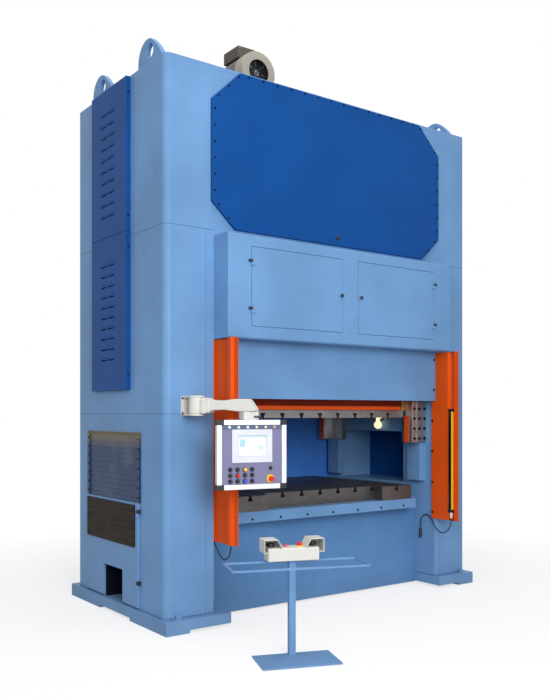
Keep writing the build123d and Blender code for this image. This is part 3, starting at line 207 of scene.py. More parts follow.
def close_finish(made, **values):
    """Give the material a shader with these values."""
    wire = Wire(made.node_tree)
    wire.node("ShaderNodeOutputMaterial", Surface=wire.node("ShaderNodeBsdfPrincipled", **values))
    return made


def enamel(name, colour, gloss, cloud=0.05, seams=(), uprights=(), soot=0.0, peel=0.03):
    """Sprayed enamel: soft clouding, fine orange peel, a little floor dust, and open joints at these heights
    and, on the front and back below the top one, at these distances from the middle."""
    made, place = blank_finish(name)
    height = place.axis(2)
    clouds = place.noise(1.3, 3, 0.6)
    grain = place.noise(38, 2)
    spots = place.noise(420, 1)
    tone = (clouds * 0.92 + grain * 0.08).band(0.34, 0.66)
    shown = tone.mix(times(colour, 1 - 2.2 * cloud), times(colour, 1 + 1.6 * cloud))
    dusty = 1 - height.band(0.02, 0.9)
    dust_share = dusty * dusty * (0.10 + soot) * (0.6 + grain)
    shown = dust_share.mix(shown, linear(120, 128, 138))
    relief = spots * (peel * 0.3)
    if seams:
        joint_half, upright_half, weld_height, outer_depth = 0.0022, 0.0018, 0.1145, 0.852
        across, deep = place.axis(0), place.axis(1)
        stitch = place.math("FRACT", (across + deep) * 26.0 + 100.0).near(0.5, 0.27)
        joint = height.near(weld_height, 0.004) * stitch
        for level in seams:
            joint = joint.either(height.near(level, joint_half))
        outer = place.math("GREATER_THAN", place.math("ABSOLUTE", deep), outer_depth)
        outer = outer * place.math("LESS_THAN", height, seams[-1])
        for reach in uprights:
            joint = joint.either(place.math("ABSOLUTE", across).near(reach, upright_half) * outer * 0.7)
        shown = (joint * 0.72).mix(shown, times(colour, 0.16))
        relief = relief - joint
    return close_finish(made, Base_Color=shown, Roughness=gloss + (grain - 0.5) * 0.04 + dust_share * 0.8,
                        Normal=relief.bump(0.08, 0.004), Specular_IOR_Level=0.07, Coat_Weight=0.03,
                        Coat_Roughness=0.12)


def fix_mesh(piece):
    """Make what the piece's modifiers show its own plain mesh."""
    fixed = bpy.data.meshes.new_from_object(piece.evaluated_get(bpy.context.evaluated_depsgraph_get()))
    piece.modifiers.clear()
    piece.data = fixed
    fixed.name = piece.name


def piece_of(shape, name, body, finish, smooth=None, ease=None, steps=2):
    """A piece of this shape on a body, shaded smooth below an angle and with eased edges where asked."""
    mesh = bpy.data.meshes.new(name + "_shape")
    shape.to_mesh(mesh)
    shape.free()
    mesh.materials.append(finish)
    if smooth:
        mesh.polygons.foreach_set("use_smooth", [True] * len(mesh.polygons))
        mesh.set_sharp_from_angle(angle=radians(smooth))
    piece = placed(name, mesh)
    if ease:
        bevel = piece.modifiers.new("eased_edges", "BEVEL")
        bevel.width = ease
        bevel.segments = steps
        bevel.limit_method = "ANGLE"
        bevel.angle_limit = radians(34)
        bevel.harden_normals = True
        fix_mesh(piece)
    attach(piece, body)
    return piece


def eased(node, slot, finish, width, body="frame", steps=2):
    """A copy of this solid with its sharp edges eased, standing for it in the picture."""
    shape = bmesh.new()
    shape.from_mesh(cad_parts[node].data)
    bmesh.ops.remove_doubles(shape, verts=shape.verts, dist=0.00002)
    bmesh.ops.dissolve_limit(shape, angle_limit=radians(0.6), verts=shape.verts, edges=shape.edges)
    piece = piece_of(shape, node + "_finished", body, finish, 32, width, steps)
    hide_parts(node)


light_blue = linear(106, 146, 190)
body_enamel = enamel("body_enamel", light_blue, gloss=0.32, soot=0.04)
frame_paint = ("light_blue_paint", body_enamel)
eased("foot_plates", *frame_paint, 0.006)


def blank_tree(name, **sizes):
    """A node tree that sets a piece on points, as wires from its inputs: points, finish and these sizes."""
    tree = bpy.data.node_groups.new(name, "GeometryNodeTree")
    inputs = {"points": "Geometry", "finish": "Material", **sizes}
    for label, kind in inputs.items():
        tree.interface.new_socket(label, in_out="INPUT", socket_type="NodeSocket" + kind)
    tree.interface.new_socket("made", in_out="OUTPUT", socket_type="NodeSocketGeometry")
    given = tree.nodes.new("NodeGroupInput")
    return [Wire(tree, given.outputs[label]) for label in inputs]


def close_tree(points, finish, model, **turns):
    """Set the model on the points, coat it, and lead it to the tree's output."""
    spread = points.node("GeometryNodeInstanceOnPoints", Points=points, Instance=model, **turns)
    real = points.node("GeometryNodeRealizeInstances", i0=spread)
    coat = points.node("GeometryNodeSetMaterial", Geometry=real, Material=finish)
    points.node("NodeGroupOutput", i0=coat)
    return points.tree


def made_by(tree, name, body, slot, places, **sizes):
    """A plain mesh that this node tree makes on a body, in places that are a point and the way it faces."""
    mesh = bpy.data.meshes.new(name + "_points")
    mesh.from_pydata([place for place, way in places], [], [])
    facing = mesh.attributes.new("facing", "FLOAT_VECTOR", "POINT")
    facing.data.foreach_set("vector", [value for place, way in places for value in way])
    piece = placed(name, mesh)
    maker = piece.modifiers.new(name, "NODES")
    maker.node_group = tree
    for item in tree.interface.items_tree:
        if item.name in sizes:
            maker[item.identifier] = sizes[item.name]
    fix_mesh(piece)
    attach(piece, body)


def fastener_tree():
    """Bolt or screw heads on washers, each along its own facing direction."""
    points, finish, radius, height, sides, washer = blank_tree(
        "fasteners", radius="Float", height="Float", sides="Int", washer="Float")
    head = points.node("GeometryNodeMeshCone", Vertices=sides, Radius_Top=radius * 0.86,
                       Radius_Bottom=radius, Depth=height)
    disc = points.node("GeometryNodeMeshCylinder", Vertices=18, Radius=radius * washer, Depth=height * 0.36)
    both = points.node("GeometryNodeJoinGeometry", i0=[head, disc])
    facing = points.node("GeometryNodeInputNamedAttribute", {"data_type": "FLOAT_VECTOR"}, Name="facing")
    turn = points.node("FunctionNodeAlignRotationToVector", {"axis": "Z"}, Vector=facing)
    return close_tree(points, finish, both, Rotation=turn)


fasteners = fastener_tree()


def fasten(name, body, slot, finish, places, radius, height, sides, washer):
    """Fasteners with heads of this size in millimetres; the washer is so many times as wide as the head."""
    made_by(fasteners, name, body, slot, places, radius=radius / 1000, height=height / 1000, sides=sides,
            washer=washer, finish=finish)


def metres(*values):
    """Millimetres in metres."""
    return tuple(value / 1000 for value in values)


forward, backward, upward = (0, -1, 0), (0, 1, 0), (0, 0, 1)
foot_top = 0.110
anchor_places = [((x, y, foot_top), upward) for x in metres(-1655, 1655) for y in metres(-900, 900)]
fasten("anchor_nuts", "frame", *frame_paint, anchor_places, 22, 32, 6, 1.6)


# Bed: the welded box under the bolster, sprayed with the frame, with a base band along its foot.
# Its front stands back from the columns. Its enamel is the frame's blue made darker, as painted shade.
bed_shaded_enamel = enamel("bed_shaded_enamel", linear(90, 134, 182), gloss=0.34, soot=0.04)
eased("bed", "light_blue_paint", bed_shaded_enamel, 0.005)


# Columns: folded and welded plate boxes with large rounded outer corners. The casing is made in three
# lengths, so a fine open joint runs round it at two heights, and a seam sets off its inner strip.
column_enamel = enamel("column_enamel", light_blue, gloss=0.29, seams=(1.737, 3.245), uprights=(1.378,))
for column_node in ("left_column", "right_column"):
    eased(column_node, "light_blue_paint", column_enamel, 0.004)


# Lifting lugs: thick flame-cut plates with a round eye, welded on top of the columns and painted with
# them. Their rear edge stands upright, and the front one slopes down to the column.
def skin(shape, near, far):
    """Faces between two loops of points."""
    for corners in zip(near, near[1:] + near[:1], far[1:] + far[:1], far):
        shape.faces.new(corners)


def cut_plate(name, body, slot, finish, outline, spot, low, high, ease, hole=None):
    """A plate cut to an outline, with a round hole of this radius about the outline's zero point if asked:
    spot puts a point of the outline, and a distance through the plate, in its place."""
    shape = bmesh.new()
    hole_parts = 40
    turns = [2 * pi * step / hole_parts for step in range(hole_parts)] if hole else []
    faces = []
    for reach in (low, high):
        loop = [shape.verts.new(spot(a, b, reach)) for a, b in outline]
        ring = [shape.verts.new(spot(hole * cos(turn), hole * sin(turn), reach)) for turn in turns]
        edges = [shape.edges.new(ends) for row in (loop, ring) for ends in zip(row, row[1:] + row[:1])]
        bmesh.ops.triangle_fill(shape, use_beauty=True, use_dissolve=False, edges=edges)
        faces.append((loop, ring))
    for near, far in zip(*faces):
        skin(shape, near, far)
    bmesh.ops.recalc_face_normals(shape, faces=shape.faces)
    bmesh.ops.dissolve_limit(shape, angle_limit=radians(0.5), verts=shape.verts, edges=shape.edges)
    return piece_of(shape, name, body, finish, 32, ease)


both_sides = ((-1, "left"), (1, "right"))
eye_height, eye_radius, lug_middle, lug_half = 4.720, 0.062, 1.697, 0.0225
lug_outline = [(0.205, -0.1195), (0.205, -0.055)]
lug_outline += [(0.045 + 0.160 * cos(radians(turn)), -0.055 + 0.169 * sin(radians(turn)))
                for turn in range(10, 121, 10)]
lug_outline += [(-0.085, 0.052), (-0.150, -0.010), (-0.240, -0.1195)]
for side, hand in both_sides:
    for lug_y, lug_name in ((-0.5332, "front"), (0.387, "rear")):
        lug = cut_plate(f"{hand}_{lug_name}_lug", "frame", *frame_paint, lug_outline,
                        lambda a, b, reach, y=lug_y: Vector((reach, y + a, eye_height + b)),
                        side * lug_middle - lug_half, side * lug_middle + lug_half, 0.005, eye_radius)
        if (hand, lug_name) == ("left", "front"):
            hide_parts("lifting_lugs")


# Crown: the welded box between the columns that holds the gears and shafts, closed by the covers.
# A coping along its front fills the step up to the tops of the columns.
def coated(node, finish):
    """This solid as it is, with a better finish."""
    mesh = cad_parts[node].data
    mesh.materials.clear()
    mesh.materials.append(finish)


def plate(name, slot, finish, limits, ease=0.0012, body="frame", spot=lambda *place: Vector(place)):
    """A plate between limits along three axes, with eased edges. The axes are the press's own, or others
    from which spot puts a point in its place."""
    shape = bmesh.new()
    bmesh.ops.create_cube(shape, size=1)
    for vertex in shape.verts:
        sides = [max(ends) if share > 0 else min(ends) for ends, share in zip(limits, vertex.co)]
        vertex.co = spot(*sides)
    bmesh.ops.bevel(shape, geom=shape.edges[:], offset=ease, segments=2, profile=0.5, affect="EDGES",
                    clamp_overlap=True)
    bmesh.ops.recalc_face_normals(shape, faces=shape.faces)
    return piece_of(shape, name, body, finish)


coated("crown", body_enamel)
coping_limits = (-1.3025, 1.3025), (-0.8595, -0.800), (4.5602, 4.5995)
plate("crown_coping", *frame_paint, coping_limits, 0.004)


# Crown cover: a thick eight-sided plate in darker enamel, held by a ring of black cap screws set close
# to its edge, with a plugged sight hole low in its middle.
dark_blue = linear(22, 74, 138)
cover_enamel = enamel("cover_enamel", dark_blue, gloss=0.42, cloud=0.05, peel=0.04)
eased("crown_cover", "dark_blue_paint", cover_enamel, 0.004)


def marked(name, dark, pale, scale, detail, limits, rough, spread, metal=0):
    """A finish with fine handling marks, which are paler and rougher."""
    made, place = blank_finish(name)
    marks = place.noise(scale, detail)
    shown = marks.band(*limits).mix(dark, pale)
    return close_finish(made, Base_Color=shown, Metallic=metal, Roughness=rough + marks * spread)


def plated(name, colour, rough):
    """Plated steel."""
    return marked(name, times(colour, 0.7), colour, 90, 4, (0.3, 0.7), rough, 0.2, 0.9)


black_bolt = plated("black_bolt", linear(38, 40, 44), 0.42)


def screws(name, places, radius, height, sides, washer, body="frame"):
    """Black screws with heads of this size in millimetres."""
    fasten(name, body, "black_plastic", black_bolt, places, radius, height, sides, washer)


def along(start, end, count):
    """Evenly spaced points from start to end."""
    return [Vector(start).lerp(Vector(end), step / (count - 1)) for step in range(count)]


cover_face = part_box("crown_cover")[0].y
top_row, side_row, plug_height = 4.563, 1.308, 3.337
cover_screws = along((-0.974, cover_face, top_row), (0.974, cover_face, top_row), 14)
for side in (-1, 1):
    cover_screws += along((side * side_row, cover_face, 3.565), (side * side_row, cover_face, 4.233), 6)
    cover_screws += along((side * 1.271, cover_face, 4.348), (side * 1.074, cover_face, 4.543), 3)
    cover_screws += along((side * 1.271, cover_face, 3.456), (side * 1.173, cover_face, 3.355), 2)
screws("cover_screws", [(place, forward) for place in cover_screws], 8, 9, 12, 1.1)


def turned(name, body, slot, finish, outline, place, way, parts=28, hollow=False):
    """A piece turned about an axis: the outline gives radius and distance along it, in millimetres.
    A hollow one is a ring, whose outline closes on itself."""
    axis = Vector(way).normalized()
    across = axis.orthogonal().normalized()
    up = axis.cross(across)
    shape = bmesh.new()
    turns = [2 * pi * step / parts for step in range(parts)]
    spokes = [across * cos(turn) + up * sin(turn) for turn in turns]
    rings = []
    for radius, reach in [metres(*pair) for pair in outline]:
        rings.append([shape.verts.new(Vector(place) + axis * reach + spoke * radius) for spoke in spokes])
    for low, high in zip(rings, rings[1:] + rings[:1] if hollow else rings[1:]):
        skin(shape, low, high)
    if not hollow:
        shape.faces.new(reversed(rings[0]))
        shape.faces.new(rings[-1])
    bmesh.ops.recalc_face_normals(shape, faces=shape.faces)
    piece_of(shape, name, body, finish, 40)


def plastic(name, colour, rough, grain=180):
    """Moulded plastic with a fine spark-eroded grain."""
    made, place = blank_finish(name)
    fine = place.noise(grain, 3)
    broad = place.noise(9, 2)
    shown = (fine * 0.5 + broad * 0.5).band(0.3, 0.7).mix(times(colour, 0.88), times(colour, 1.08))
    return close_finish(made, Base_Color=shown, Roughness=rough + (broad - 0.5) * 0.12,
                        Normal=fine.bump(0.08, 0.001))


black_plastic = plastic("black_plastic", linear(30, 31, 34), 0.45)
black_part = ("black_plastic", black_plastic)
plug_outline = ((21, 0), (21, 7), (18, 10), (12, 10), (10, 6))
turned("sight_plug", "frame", *black_part, plug_outline, (0, cover_face, plug_height), forward)


# Lower crown cabinet and its doors: sheet boxes with folded edges in the frame's enamel. Each door hangs
# on two black hinges and shuts with a black quarter-turn lock.
eased("crown_cabinet", *frame_paint, 0.003)
coated("door_hinges", black_plastic)
lock_x, lock_height = 0.114, 2.781
lock_outline = ((16.5, 2), (16.5, 6.5), (14, 8.5), (7, 8.5), (6, 5))
for side, hand in both_sides:
    door = hand + "_crown_door"
    eased(door, *frame_paint, 0.002, door)
    lock_place = (side * lock_x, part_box(door)[0].y - 0.0005, lock_height)
    turned(hand + "_door_lock", door, *black_part, lock_outline, lock_place, forward, 20)


# Louvre covers: folded dark sheet covers screwed over the drive openings in the columns' sides, through
# their folded front and back edges. Each pressed louvre has a rounded lip above its slit.
eased("louvre_covers", "dark_blue_paint", cover_enamel, 0.0016)


def lip_tree():
    """Rounded louvre lips, lying along the cover, on the points of a mesh."""
    points, finish, length, radius = blank_tree("louvre_lips", length="Float", radius="Float")
    roll = points.node("GeometryNodeMeshCylinder", Vertices=14, Radius=radius, Depth=length)
    lain = points.node("GeometryNodeTransform", Geometry=roll, Rotation=(radians(90), 0, 0),
                       Scale=(0.75, 1, 1))
    return close_tree(points, finish, lain)


shell_low, shell_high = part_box("louvre_covers")
lip_x, louvre_screw_x, screw_inset = shell_high.x - 0.0072, shell_high.x - 0.02, 0.13
lip_columns = [0.4455 - share * 0.7052 for share in (0.37, 0.575)]
lip_rows = 10
lip_places = []
louvre_screws = []
for low, high, first, last in ((3.2875, 4.592, 0.135, 0.825), (1.942, 3.2845, 0.195, 0.81)):
    for side in (-1, 1):
        for row in range(lip_rows):
            lip_z = low + (first + (last - first) * row / (lip_rows - 1)) * (high - low) + 0.019
            lip_places += [((side * lip_x, lip_y, lip_z), (side, 0, 0)) for lip_y in lip_columns]
        for screw_z in (low + screw_inset, high - screw_inset):
            louvre_screws += [((side * louvre_screw_x, shell_low.y, screw_z), forward),
                              ((side * louvre_screw_x, shell_high.y, screw_z), backward)]
made_by(lip_tree(), "louvre_lips", "frame", "dark_blue_paint", lip_places, length=0.112, radius=0.009,
        finish=cover_enamel)
screws("louvre_screws", louvre_screws, 8, 6, 12, 1.2)


# Window guards: anodised slats between posts on a backing sheet, screwed over each feed window, with a
# dull brass edge strip along the top. A dark sheet closes the right window behind them.
def brushed(name, colour, rough, stretch, scale, stain, grime=(90, 86, 80), depth=0.26, glow=None):
    """Brushed or ground metal: fine lines along one axis and soft stains, with a painted reflection at one
    height where asked: a warm tint that fades in over a band of heights.
    """
    made, place = blank_finish(name)
    lines = place.node("ShaderNodeMapping", Vector=place, Scale=stretch).noise(scale, 5, 0.65)
    shown = lines.band(0.3, 0.72).mix(times(colour, 1 - depth), times(colour, 1 + depth / 2))
    # Painted reflection: above one height the colour fades into a warm tint.
    if glow:
        tint, low, high = glow
        shown = (place.axis(2).band(low, high) * 0.8).mix(shown, linear(*tint))
    spoiled = place.noise(3.6, 6, 0.62).band(0.5, 0.78) * stain
    shown = spoiled.mix(shown, linear(*grime))
    return close_finish(made, Base_Color=shown, Metallic=0.85 - spoiled * 0.5,
                        Roughness=rough + lines * 0.18 + spoiled * 0.3, Normal=lines.bump(0.14, 0.0012))


# The warm tint over the upper slats is a painted reflection.
guard_painted_reflection = ((120, 108, 78), 1.44, 1.57)
guard_metal = brushed("guard_metal", linear(44, 64, 96), 0.36, (2, 0.35, 9), 34, 0.35, (128, 134, 142),
                      0.34, guard_painted_reflection)
eased("window_guards", "guard_slats", guard_metal, 0.001)
brass_strip = brushed("brass_strip", linear(98, 88, 62), 0.42, (1, 0.2, 6), 30, 0.3)
guard_low, guard_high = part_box("window_guards")
column_face = -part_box("left_column")[0].x
strip_y, strip_z = (guard_low.y + 0.01, guard_high.y - 0.01), (guard_high.z - 0.026, guard_high.z - 0.010)
back_y, back_z = (guard_low.y + 0.045, guard_high.y - 0.045), (guard_low.z + 0.002, guard_high.z - 0.002)
sheet_limits = (1.7500, 1.7545), (-0.419, 0.575), (1.031, 1.554)
plate("right_window_sheet", "dark_blue_paint", cover_enamel, sheet_limits)
guard_screws = []
for side, hand in both_sides:
    face = side * guard_high.x
    strip_x = (face, face + side * 0.004)
    plate(hand + "_guard_strip", "guard_slats", brass_strip, (strip_x, strip_y, strip_z))
    back_x = (side * (column_face + 0.0004), side * (column_face + 0.0029))
    plate(hand + "_guard_back", "guard_slats", guard_metal, (back_x, back_y, back_z), 0.0005)
    for y in (guard_low.y + 0.025, guard_high.y - 0.025):
        column = along((face, y, guard_low.z + 0.04), (face, y, guard_high.z - 0.06), 7)
        guard_screws += [(place, (side, 0, 0)) for place in column]
screws("guard_screws", guard_screws, 8, 6, 10, 1.2)


# Side door and scrap board: a sheet door over the locker with the scrap opening below, and a dark
# composite board screwed across it that the scrap has scored lengthwise. Sheets line the scrap tunnel.
eased("left_side_door", *frame_paint, 0.002, "side_door")
board_finish, place = blank_finish("scored_board")
scores = place.node("ShaderNodeMapping", Vector=place, Scale=(1, 0.35, 9)).noise(7, 6, 0.7)
blots = place.noise(6, 4)
shown = scores.band(0.38, 0.72).mix(linear(14, 12, 10), linear(62, 53, 44))
shown = (blots.band(0.45, 0.75) * 0.55).mix(shown, linear(22, 19, 17))
close_finish(board_finish, Base_Color=shown, Roughness=0.5 + scores * 0.3, Normal=scores.bump(0.4, 0.003),
             Specular_IOR_Level=0.15)
eased("scrap_board", "brown_board", board_finish, 0.0015, "side_door")
board_low, board_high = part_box("scrap_board")
board_inset = 0.03
board_heights = (board_low.z + board_inset, (board_low.z + board_high.z) / 2, board_high.z - board_inset)
board_columns = (board_low.y + board_inset, board_high.y - board_inset)
board_screws = [((board_low.x, y, z), (-1, 0, 0)) for y in board_columns for z in board_heights]
screws("board_screws", board_screws, 8, 6, 10, 1.3, "side_door")
liner_finish = brushed("liner_sheet", linear(26, 36, 48), 0.5, (0.4, 3, 3), 20, 0.5, (20, 22, 26))
tunnel_x, wall_z, roof_z = (-1.749, -0.62), (0.1105, 0.4045), (0.4005, 0.4045)
for wall_name, wall_y, liner_z in (("rear", (0.2437, 0.2472), wall_z), ("front", (-0.1371, -0.1336), wall_z),
                                   ("top", (-0.1336, 0.2437), roof_z)):
    plate(f"scrap_{wall_name}_liner", "steel", liner_finish, (tunnel_x, wall_y, liner_z), 0.001)


# Rear guard: two framed sheet doors, bolted shut, that close the back between the columns.
# They are sprayed in a more saturated blue than the frame, made brighter as painted light for the dim space
# between the columns.
rear_lightened_enamel = enamel("rear_lightened_enamel", linear(74, 132, 224), gloss=0.42, cloud=0.06, peel=0.10)
coated("rear_guard", rear_lightened_enamel)


# Bolster: the thick steel plate that carries the die, planed, T-slotted, and dulled by oil and wear.
# Its two ends stand forward of the middle.
worn_steel = brushed("worn_steel", linear(98, 95, 94), 0.38, (0.4, 3, 3), 22, 0.75, (78, 72, 68))
coated("bolster", worn_steel)


# Bolster rails: painted angles bolted along the bed under the plate, one in front and one behind.
# A row of black screws holds each.
eased("bolster_rails", *frame_paint, 0.002)
rail_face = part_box("bolster_rails")[0].y
first_rail_screw, rail_pitch, rail_screw_height = -0.848, 0.3027, 0.829
rail_screws = [((first_rail_screw + step * rail_pitch, way * -rail_face, rail_screw_height), (0, way, 0))
               for way in (-1, 1) for step in range(7)]
screws("rail_screws", rail_screws, 9, 8, 6, 1.2)


# Gibs: ground steel ways bolted to the columns, in front of and behind the slide's ears. Each arm has
# rows of socket screws down its face and an orange-painted wiper plate on its inner side, and a bright
# bar runs down each front one.
way_steel = brushed("way_steel", linear(176, 178, 180), 0.26, (3, 3, 0.4), 30, 0.35, (96, 92, 88))
eased("gibs", "steel", way_steel, 0.0025)
orange = linear(216, 82, 28)
guard_enamel = enamel("guard_enamel", orange, gloss=0.40, cloud=0.05, peel=0.08)
plated_bolt = plated("plated_bolt", linear(168, 170, 172), 0.3)
gib_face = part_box("gibs")[0].y
gib_columns, gib_heights = (1.130, 1.200, 1.272), (1.49, 1.59, 1.69, 1.79, 1.89, 1.99, 2.09)
gib_screws = []
for side, hand in both_sides:
    for way, way_name in ((-1, "front"), (1, "rear")):
        gib_screws += [((side * x, way * -gib_face, z), (0, way, 0))
                       for x in gib_columns for z in gib_heights]
        wiper_limits = (side * 1.097, side * 1.103), (way * 0.640, way * 0.700), (1.452, 1.718)
        plate(f"{hand}_{way_name}_wiper", "orange_paint", guard_enamel, wiper_limits)
    bar_limits = (side * 1.160, side * 1.172), (gib_face - 0.010, gib_face), (1.455, 2.30)
    plate(hand + "_way_bar", "steel", plated_bolt, bar_limits)
screws("gib_screws", gib_screws, 14, 10, 14, 1.1)


# Slide: the welded ram box, painted orange-red, with its T-slotted steel face plate below and bronze
# wear liners on its guide ears. Its enamel is darkened as painted shade under the slide cover, and the
# flange strip across its front is a much lighter orange as painted light.
slide_shaded_enamel = enamel("slide_shaded_enamel", linear(128, 42, 22), gloss=0.44, cloud=0.08, peel=0.08)
eased("slide", "orange_paint", slide_shaded_enamel, 0.003, "slide")
plate_steel = brushed("plate_steel", linear(136, 134, 134), 0.34, (0.4, 3, 3), 24, 0.6, (84, 78, 72))
eased("slide_plate", "steel", plate_steel, 0.002, "slide")
bronze = brushed("liner_bronze", linear(176, 128, 66), 0.32, (3, 3, 0.5), 30, 0.3)
coated("slide_liners", bronze)
slide_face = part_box("slide")[0].y
# Painted light: the strip's orange is much lighter than the slide's, for the light it catches below the
# cover.
strip_enamel = enamel("strip_enamel", linear(244, 94, 42), gloss=0.4, cloud=0.05, peel=0.08)
strip_limits = (-1.055, 1.055), (slide_face - 0.008, slide_face), (1.777, 1.812)
plate("slide_strip", "orange_paint", strip_enamel, strip_limits, body="slide")


# Slide cover: a folded sheet across the front that hides the slide at the top of its stroke, in the
# frame's enamel, held at its ends.
eased("slide_cover", *frame_paint, 0.002)
end_x, end_face, end_heights = 1.258, -0.895, (2.276, 1.977)
cover_ends = [((side * end_x, end_face, z), forward) for side in (-1, 1) for z in end_heights]
screws("slide_cover_screws", cover_ends, 10, 7, 12, 1.3)


# Side guards: folded orange sheets that stand forward of the columns, each with a channel that holds a
# light curtain. Black screws hold their back edge.
guard_inner, guard_edge, guard_heights = 1.2805, -0.852, (0.754, 1.055, 1.366, 1.667, 1.967, 2.268)
side_guard_screws = []
for side, hand in both_sides:
    eased(hand + "_guard", "orange_paint", guard_enamel, 0.0016)
    side_guard_screws += [((side * guard_inner, guard_edge, z), (-side, 0, 0)) for z in guard_heights]
screws("side_guard_screws", side_guard_screws, 11, 7, 12, 1.25)


# Light curtains: yellow aluminium profiles with a black window towards each other, dark end caps and a
# pale plug at the bottom.
curtain_yellow = enamel("curtain_yellow", linear(240, 176, 30), gloss=0.36, cloud=0.03, peel=0.04)
window_black = plastic("window_black", linear(20, 20, 24), 0.12, 60)
plug_white = plastic("plug_white", linear(226, 226, 222), 0.4)
eased("light_curtains", "yellow_plastic", curtain_yellow, 0.0012)
cap_y = (-1.1205, -1.0715)
plug_shape = ((11.5, 0), (13.5, 2), (13.5, 34), (12.5, 36), (12.5, 52), (11.5, 54))
for side, hand in both_sides:
    window_limits = (side * 1.264, side * 1.268), (-1.113, -1.079), (0.800, 1.760)
    plate(hand + "_curtain_window", "black_plastic", window_black, window_limits, 0.0006)
    cap_x = (side * 1.2645, side * 1.3075)
    for end, cap_z in (("lower", (0.773, 0.800)), ("upper", (1.760, 1.787))):
        plate(f"{hand}_{end}_cap", *black_part, (cap_x, cap_y, cap_z), 0.002)
    plug_place = (side * 1.286, -1.096, 0.774)
    turned(hand + "_curtain_plug", "frame", "yellow_plastic", plug_white, plug_shape, plug_place,
           (0, 0, -1), 18)


# Curtain cords: black rubber leads that hang in a loop from the curtains' plugs and go up and over into
# a socket on the inner face of each column.
cord_rubber = marked("cord_rubber", linear(20, 20, 21), linear(46, 45, 44), 55, 4, (0.4, 0.75),
                     0.45, 0.25)
cord_diameter = 0.011
cord_points = [(1286, -1096, 712), (1286, -1096, 672), (1284, -1078, 622), (1282, -1044, 580),
               (1280, -990, 556), (1278, -932, 572), (1280, -884, 616), (1282, -848, 668), (1284, -806, 712),
               (1286, -752, 722), (1286, -702, 694), (1286, -682, 640), (1286, -682, 570)]
for side, hand in both_sides:
    line = bpy.data.curves.new(hand + "_curtain_lead", "CURVE")
    line.dimensions = "3D"
    line.bevel_depth = cord_diameter / 2
    line.bevel_resolution = 3
    line.resolution_u = 8
    run = line.splines.new("NURBS")
    run.points.add(len(cord_points) - 1)
    route = [metres(side * x, y, z) for x, y, z in cord_points]
    for point, place in zip(run.points, route):
        point.co = (*place, 1)
    run.order_u = 3
    run.use_endpoint_u = True
    line.materials.append(cord_rubber)
    lead = placed(hand + "_curtain_lead", line)
    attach(lead, "frame")
    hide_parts(hand + "_curtain_cord")
eased("cord_sockets", *black_part, 0.002)


# Die lamps: bare lit lamps on round black bases, one on each column's inner face.
# They light the die with a warm light.
lamp_glow, place = blank_finish("lamp_glow")
warm = place.noise(30, 2).band(0.3, 0.7).mix((1, 0.70, 0.34), (1, 0.80, 0.46))
close_finish(lamp_glow, Base_Color=warm, Roughness=0.3, Emission_Color=warm, Emission_Strength=1.35)
coated("die_lamps", lamp_glow)
lamp_base = ((30, 0), (30, 6), (24, 12), (24, 16))
for side, hand in both_sides:
    base_place = (side * 1.303, -0.0998, 1.692)
    turned(hand + "_lamp_base", "frame", *black_part, lamp_base, base_place, (-side, 0, 0), 22)


# Eccentric drive: cast gears with cut teeth on fixed pins, forged rods with bolted caps, and the pinion
# shaft. Oil has darkened them inside the crown.
def castings(name, colour, rough, metal=0.55):
    """Cast or forged iron: sandy skin, oil stains in patches."""
    made, place = blank_finish(name)
    sand = place.noise(140, 4, 0.7)
    oil = place.noise(4.5, 5).band(0.45, 0.7)
    shown = sand.band(0.3, 0.7).mix(times(colour, 0.72), times(colour, 1.15))
    shown = (oil * 0.5).mix(shown, linear(44, 38, 30))
    return close_finish(made, Base_Color=shown, Metallic=metal, Roughness=rough - oil * 0.18 + sand * 0.1,
                        Normal=sand.bump(0.3, 0.002))


gear_iron = castings("gear_iron", linear(104, 104, 106), 0.5)
rod_iron = castings("rod_iron", linear(126, 124, 122), 0.42, 0.7)
ground_steel = brushed("ground_steel", linear(170, 172, 174), 0.25, (3, 0.4, 3), 40, 0.3, (86, 80, 70))
for drive_node, drive_finish in (("left_eccentric_gear", gear_iron), ("right_eccentric_gear", gear_iron),
                                 ("connecting_rods", rod_iron), ("rod_caps", rod_iron),
                                 ("gear_pins", ground_steel), ("pinion_shaft", ground_steel)):
    coated(drive_node, drive_finish)


# Flywheel, belts and their guard: a cast wheel with belt grooves behind the crown, driven by three
# rubber belts, under a slotted sheet guard painted with the frame.
coated("flywheel", castings("wheel_iron", linear(92, 94, 98), 0.48))
belt_rubber = marked("belt_rubber", linear(22, 22, 23), linear(52, 50, 48), 120, 3, (0.35, 0.7),
                     0.62, 0.2)
coated("drive_belts", belt_rubber)
eased("flywheel_guard", *frame_paint, 0.002)


# Drive motor: a finned cast case with a ribbed sheet fan cowl and its wire grille, a terminal box with a
# screwed lid, and the shaft with the fan in front and the belt pulley at the rear.
motor_enamel = enamel("motor_enamel", linear(158, 152, 140), gloss=0.42, cloud=0.06, peel=0.10)
box_enamel = enamel("box_enamel", linear(92, 86, 78), gloss=0.46, cloud=0.08, peel=0.10)
eased("motor", "motor_grey", motor_enamel, 0.0015)
eased("motor_cowl", "motor_grey", motor_enamel, 0.0012)
eased("terminal_box", "motor_grey", box_enamel, 0.003)
coated("motor_rotor", ground_steel)
box_low, box_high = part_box("terminal_box")
lid_height = box_high.z - 0.016
lid_screws = []
for x in (box_low.x + 0.018, box_high.x - 0.018):
    lid_screws += [((x, box_low.y, lid_height), forward), ((x, box_high.y, lid_height), backward)]
fasten("lid_screws", "frame", "steel", plated_bolt, lid_screws, 6, 5, 10, 1.3)


